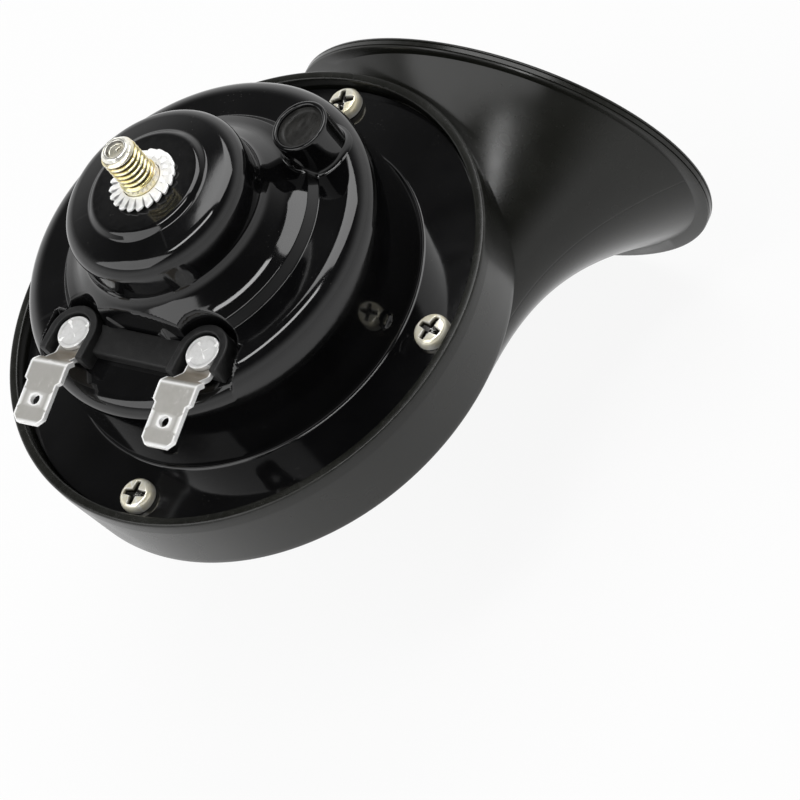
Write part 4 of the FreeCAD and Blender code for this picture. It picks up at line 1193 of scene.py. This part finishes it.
@dataclass
class Trumpet:
    """The moulded body: rim and skirt, and the duct and bell in two halves."""

    parting: float = -46.6
    duct_wall: float = 2.0
    duct_radius: tuple = (4.6, 28.1)
    duct_width: tuple = (6.6, 11.8)
    duct_height: tuple = (6.5, 9.2)
    duct_start: float = -450.0
    mouth: tuple = (50.0, -14.2, -57.95)
    mouth_width: float = 40.3
    mouth_height: float = 30.4
    mouth_wall: float = 3.2
    width_flare: float = 2.57
    height_flare: float = 2.4
    side_bend: float = 1.5
    depth_bend: float = 1.2
    lip: float = 2.2
    lip_places: tuple = (0.02, 0.18, 0.42, 0.55, 0.68, 0.95, 1.2, 1.36, 1.5, 1.64, 1.8, 2.0, 2.13,
                         2.2)
    lip_sinks: tuple = (0.5, 0.1, 0.0, 0.22, 0.0, 0.0, 0.0, 0.0, 0.22, 0.0, 0.0, 0.12, 0.4, 0.8)
    lip_inner: tuple = (0.12, 0.6)
    groove: float = 0.03
    groove_height: float = 0.3
    blend_reach: int = 9
    blend_rows: tuple = (90, 135)
    boss_circle: float = SCREW_CIRCLE
    screw_boss: Triple = (3.6, -41.5, -36.4)
    hub_radius: float = 6.2
    hub_top: float = -40.0
    hub_foot: float = -52.6
    far_below: float = -200.0
    ring_corners: tuple = (
        (42.3, -31.1, 0.35), (44.0, -31.1, 0.45), (44.0, -33.5, 0.5), (43.0, -45.6, 0.9),
        (41.0, -45.6, 0.5), (41.0, -38.8, 0.8), (33.0, -38.8, 0.6), (8.0, -42.0, 0.5),
        (4.2, -42.0, 0.4), (4.2, -40.0, 0.4), (8.0, -40.0, 0.5), (33.0, -36.8, 0.3),
        (34.0, -35.9, 0.2), (42.3, -35.9, 0.1))

    def bell(self, s: np.ndarray) -> tuple[np.ndarray, np.ndarray, np.ndarray, np.ndarray]:
        """Return the bell's half width, half height, wall and centre at shares of its length.

        The half sizes grow from the duct's by a power of the share, and the centre bends
        sideways and down by lower powers.
        """
        width = self.duct_width[1] \
            + (self.mouth_width - self.duct_width[1]) * s ** self.width_flare
        height = self.duct_height[1] \
            + (self.mouth_height - self.duct_height[1]) * s ** self.height_flare
        wall = self.duct_wall + (self.mouth_wall - self.duct_wall) * s
        y = -self.duct_radius[1] + (self.mouth[1] + self.duct_radius[1]) * s ** self.side_bend
        z = self.parting + (self.mouth[2] - self.parting) * s ** self.depth_bend
        return width, height, wall, stacked(self.mouth[0] * s, y, z)

    def duct(self) -> dict[str, np.ndarray]:
        """Return the duct's stations.

        Round the duct the centre's radius and the half sizes grow in step with the angle. Both
        ends of a wall close as a quarter circle.
        """
        t = np.linspace(0, 1, 110)
        across = stacked(*polar(1.0, np.radians(self.duct_start + 360 * t)), 0.0)
        radius, width, height = (low + (high - low) * t for low, high in
                                 (self.duct_radius, self.duct_width, self.duct_height))
        centre = across * radius[:, None] + np.array([0, 0, self.parting])
        outer, inner = (np.sqrt(1 - (1 - np.clip((np.arange(len(t)) - start) / 6, 0, 1)) ** 2)
                        for start in (0, 8))
        return {"across": across, "outer_centre": centre, "inner_centre": centre,
                "outer_width": width * outer, "outer_height": height * outer,
                "inner_width": (width - self.duct_wall) * inner,
                "inner_height": (height - self.duct_wall) * inner}

    def horn(self) -> dict[str, np.ndarray]:
        """Return the bell's stations, up to a lip that is a band with two fine grooves."""
        start = 1 - self.lip / self.mouth[0]
        places, sinks = np.array(self.lip_places), np.array(self.lip_sinks)
        s = np.concatenate([np.linspace(0, start, 96)[1:], start + places / self.mouth[0]])
        width, height, wall, centre = self.bell(s)
        outer_width, outer_height, outer_centre = width.copy(), height.copy(), centre.copy()
        outer_width[-len(places):] = self.mouth_width - sinks
        outer_height[-len(places):] = self.mouth_height - sinks
        outer_centre[-len(places):, 1:] = self.mouth[1:]
        inner_width, inner_height = width - wall, height - wall
        inner_width[-2:] += self.lip_inner
        inner_height[-2:] += self.lip_inner
        return {"across": np.broadcast_to([0.0, -1.0, 0.0], centre.shape),
                "outer_centre": outer_centre, "inner_centre": centre,
                "outer_width": outer_width, "outer_height": outer_height,
                "inner_width": inner_width, "inner_height": inner_height}

    def stations(self) -> dict[str, np.ndarray]:
        """Return centre, sideways direction and half sizes, outside and inside, all along.

        Where the duct meets the bell, each centre becomes the mean of its neighbours, weighed
        by e to the minus half square of how many fours of rows they are away.
        """
        duct, horn = self.duct(), self.horn()
        joined = {key: np.concatenate([duct[key], horn[key]]) for key in duct}
        shifts = np.arange(-self.blend_reach, self.blend_reach + 1)
        weights = np.exp(-0.5 * (shifts / 4.0) ** 2)
        low, high = self.blend_rows
        for key in ("outer_centre", "inner_centre"):
            window = np.stack([joined[key][low + k:high + k] for k in shifts])
            joined[key][low:high] = np.tensordot(weights / weights.sum(), window, axes=1)
        return joined

    def half(self, upper: bool) -> list[np.ndarray]:
        """Return one half of the duct and bell as grids that close up.

        A point is the centre, plus the sideways direction times the half width and the
        cosine, plus the half height times the sine. By the parting the outside dips inwards
        by the square of what is left of the dip's height, which leaves a fine groove.
        """
        at = self.stations()
        fine = np.array([0.0, 0.005, 0.011, 0.018, 0.028, 0.04])
        turn = np.concatenate([fine, np.linspace(0.07, math.pi - 0.07, 74),
                               math.pi - fine[::-1]])
        up = 1.0 if upper else -1.0
        grids = []
        for side in ("outer", "inner"):
            width = at[side + "_width"][:, None]
            height = at[side + "_height"][:, None] * np.sin(turn)
            if side == "outer":
                left = np.clip(1 - height / self.groove_height, 0, 1)
                width = np.maximum(width - self.groove * left ** 2, width * 0.5)
            reach = at["across"][:, None] * (width * np.cos(turn))[..., None]
            grid = at[side + "_centre"][:, None] + reach
            grid[..., 2] += up * height
            grids.append(grid)
        outer, inner = grids
        edges = (np.s_[:, 0], np.s_[:, -1], -1, 0)
        return grids + [np.stack([outer[edge], inner[edge]]) for edge in edges]

    def bell_middle(self, x: np.ndarray, y: np.ndarray) -> np.ndarray:
        """Return the height of the middle of the bell's upper wall over a place, or far below.

        It is the centre's height plus the half height times the root of one less the square
        of the sideways share, with half the wall taken off both half sizes.
        """
        width, height, wall, centre = self.bell(np.clip(x / self.mouth[0], 0, 1))
        share = (y - centre[..., 1]) / (width - wall / 2)
        inside = (np.abs(share) < 1) & (x > 0)
        rise = (height - wall / 2) * np.sqrt(np.clip(1 - share ** 2, 0, 1))
        return np.where(inside, centre[..., 2] + rise, self.far_below)

    def ring(self) -> np.ndarray:
        """Return the rim, skirt and chamber floor, cut off where the bell's wall begins."""
        line = rounded([corner[:2] for corner in self.ring_corners],
                       [corner[2] for corner in self.ring_corners], 5, closed=True)
        line = spread(np.vstack([line, line[:1]]), 1.05)[:-1]
        grid = turned(line, around(320))
        grid[..., 2] = np.maximum(grid[..., 2], self.bell_middle(grid[..., 0], grid[..., 1]))
        return grid

    def boss(self, radius: float, foot: float, top: float, x: float = 0.0,
             y: float = 0.0) -> np.ndarray:
        """Return a round boss with a broken lower edge."""
        line = rounded([(0.0, top), (radius, top), (radius, foot), (0.0, foot)], [0.1, 0.5], 5)
        return turned(spread(line, 1.5), around(64), x, y)

    def build(self) -> None:
        """Make both halves."""
        back, front = Patchwork(), Patchwork()
        for work, upper in ((back, True), (front, False)):
            for grid in self.half(upper):
                work.add(grid)
        back.add(self.ring(), wrap_rows=True, wrap_columns=True)
        for angle in around(4):
            back.add(self.boss(*self.screw_boss, *polar(self.boss_circle, angle)),
                     wrap_columns=True)
        back.add(self.boss(self.hub_radius, self.parting, self.hub_top), wrap_columns=True)
        back.piece("trumpet_back_half", PLASTIC, "trumpet_plastic", "trumpet_back")
        front.add(self.boss(self.hub_radius, self.hub_foot, self.parting), wrap_columns=True)
        front.piece("trumpet_front_half", PLASTIC, "trumpet_plastic", "trumpet_front")


@dataclass
class InnerParts:
    """The CAD solids inside the housing, which keep their shape and get finishes."""

    finishes: dict[str, Finish] = field(default_factory=lambda: {
        "adjusting_screw": INNER_STEEL, "inner_insulator": COLLAR_PLASTIC,
        "pole_core": INNER_STEEL, "coil_bobbin": COLLAR_PLASTIC, "coil_winding": COPPER,
        "coil_lead_left": COPPER, "coil_lead_right": COPPER, "contact_spring": SPRING,
        "contact_spacer": COLLAR_PLASTIC, "contact_bracket": INNER_STEEL,
        "contact_washer": COLLAR_PLASTIC, "moving_contact": CONTACT, "fixed_contact": CONTACT,
        "armature": INNER_STEEL, "armature_washer": INNER_STEEL, "armature_rivet": INNER_STEEL,
        "diaphragm": SPRING, "cover_gasket": RUBBER, "body_gasket": RUBBER})

    def build(self) -> None:
        """Give each kept solid the material of its finish."""
        for name, finish in self.finishes.items():
            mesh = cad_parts[name].data
            mesh.materials.clear()
            mesh.materials.append(finish.material())
            log.info("%s: kept, with %s", name, finish.name)


# Studio


@dataclass
class SoftBox:
    """One soft lamp that faces the horn, its angles in degrees and its power in watts."""

    name: str
    azimuth: float
    height: float
    wide: float
    tall: float
    power: float
    distance: float = 700.0
    aim: Triple = (5.0, -5.0, -30.0)

    def build(self) -> None:
        """Hang the lamp at its distance from the point that it faces."""
        data = bpy.data.lights.new(self.name, "AREA")
        data.shape = "RECTANGLE"
        data.size = self.wide * MM
        data.size_y = self.tall * MM
        data.energy = self.power
        lamp = linked(self.name, data)
        up = math.radians(self.height)
        way = Vector((*polar(math.cos(up), math.radians(self.azimuth)), math.sin(up)))
        lamp.location = (Vector(self.aim) + way * self.distance) * MM
        lamp.rotation_euler = way.to_track_quat("Z", "Y").to_euler()


@dataclass
class Studio:
    """The camera, the floor, the lamps and the surroundings."""

    eye: Triple = (-166.21, -310.04, 310.99)
    right: Triple = (0.42318, -0.79368, -0.43703)
    down: Triple = (-0.84338, -0.16879, -0.51011)
    ahead: Triple = (0.3311, 0.58445, -0.7408)
    lens: float = 135.0
    floor_height: float = -88.5
    floor_reach: float = 4000.0
    floor_tone: Triple = (0.8, 0.8, 0.8)
    floor_glow: float = 0.91
    white: Triple = (1.0, 1.0, 1.0)
    overhead: Triple = (0.05, 0.05, 0.05)
    lamps: tuple = (SoftBox("key", 8.0, 59.0, 540.0, 350.0, 2.3),
                    SoftBox("top", -112.0, 81.0, 400.0, 120.0, 1.4),
                    SoftBox("side", 150.0, 52.0, 760.0, 420.0, 2.3))

    def camera(self) -> None:
        """Place the camera at the photograph's viewing angle."""
        data = bpy.data.cameras.new("view")
        data.lens = self.lens
        data.sensor_width = 36.0
        data.sensor_fit = "HORIZONTAL"
        data.clip_end = 20.0
        camera = linked("view", data)
        columns = [Vector(self.right), -Vector(self.down), -Vector(self.ahead)]
        camera.matrix_world = Matrix.Translation(Vector(self.eye) * MM) @ \
            Matrix(columns).transposed().to_4x4()
        bpy.context.scene.camera = camera

    def floor(self) -> None:
        """Lay a plain white floor that keeps a faint shadow."""
        reach = self.floor_reach
        corners = np.array([(-reach, -reach), (reach, -reach), (reach, reach), (-reach, reach)])
        mesh = bpy.data.meshes.new("floor")
        mesh.from_pydata((stacked(*corners.T, self.floor_height) * MM).tolist(), [],
                         [(0, 1, 2, 3)])
        floor = linked("floor", mesh)
        material = bpy.data.materials.new("floor_white")
        material.use_nodes = True
        bench = Bench(material.node_tree)
        path = bench.add("ShaderNodeLightPath")
        seen = bench.sum("MAXIMUM", path.outputs["Is Camera Ray"], path.outputs["Is Glossy Ray"])
        seen = bench.sum("MAXIMUM", seen, path.outputs["Is Transmission Ray"])
        matt = bench.add("ShaderNodeBsdfDiffuse", {"Color": self.floor_tone}).outputs[0]
        glow = bench.add("ShaderNodeEmission", {"Color": self.white}).outputs[0]
        shaded = bench.add("ShaderNodeMixShader", {0: self.floor_glow, 1: matt, 2: glow})
        either = bench.add("ShaderNodeMixShader", {0: seen, 1: matt, 2: shaded.outputs[0]})
        bench.add("ShaderNodeOutputMaterial", {"Surface": either.outputs[0]})
        mesh.materials.append(material)

    def surroundings(self) -> None:
        """Light the sides softly from the world: bright low down, dark overhead."""
        world = bpy.data.worlds.new("studio")
        bpy.context.scene.world = world
        world.use_nodes = True
        bench = Bench(world.node_tree)
        way = bench.add("ShaderNodeTexCoord").outputs["Generated"]
        up = bench.add("ShaderNodeSeparateXYZ", {0: way}).outputs["Z"]
        level = bench.blend(bench.reach(up, 0.15, 0.75), self.white, self.overhead)
        seen = bench.add("ShaderNodeLightPath").outputs["Is Camera Ray"]
        soft = bench.add("ShaderNodeBackground", {"Color": level}).outputs[0]
        white = bench.add("ShaderNodeBackground", {"Color": self.white}).outputs[0]
        both = bench.add("ShaderNodeMixShader", {0: seen, 1: soft, 2: white})
        bench.add("ShaderNodeOutputWorld", {"Surface": both.outputs[0]})

    def build(self) -> None:
        """Set up the studio."""
        bpy.context.scene.view_settings.view_transform = "Standard"
        self.camera()
        self.floor()
        for lamp in self.lamps:
            lamp.build()
        self.surroundings()


def main() -> None:
    """Build the horn's pieces and the studio in order."""
    logging.basicConfig(level=logging.INFO, format="%(name)s: %(message)s")
    rivet_feet = {"left": -19.8, "right": -23.0}
    screw_turns = {0: 20.0, 90: 47.0, 180: 5.0, 270: 75.0}
    pieces = [Studio(), MountingStud(), ToothWasher(), BackCover(), SealingPlug(),
              TerminalInsulator(),
              *(SpadeTerminal(side, *place) for side, place in TERMINALS.items()),
              *(TerminalRivet(side, *TERMINALS[side], foot) for side, foot in rivet_feet.items()),
              *(FlangeScrew(angle, turn) for angle, turn in screw_turns.items()),
              Trumpet(), InnerParts()]
    for piece in pieces:
        piece.build()


if __name__ == "__main__":
    main()
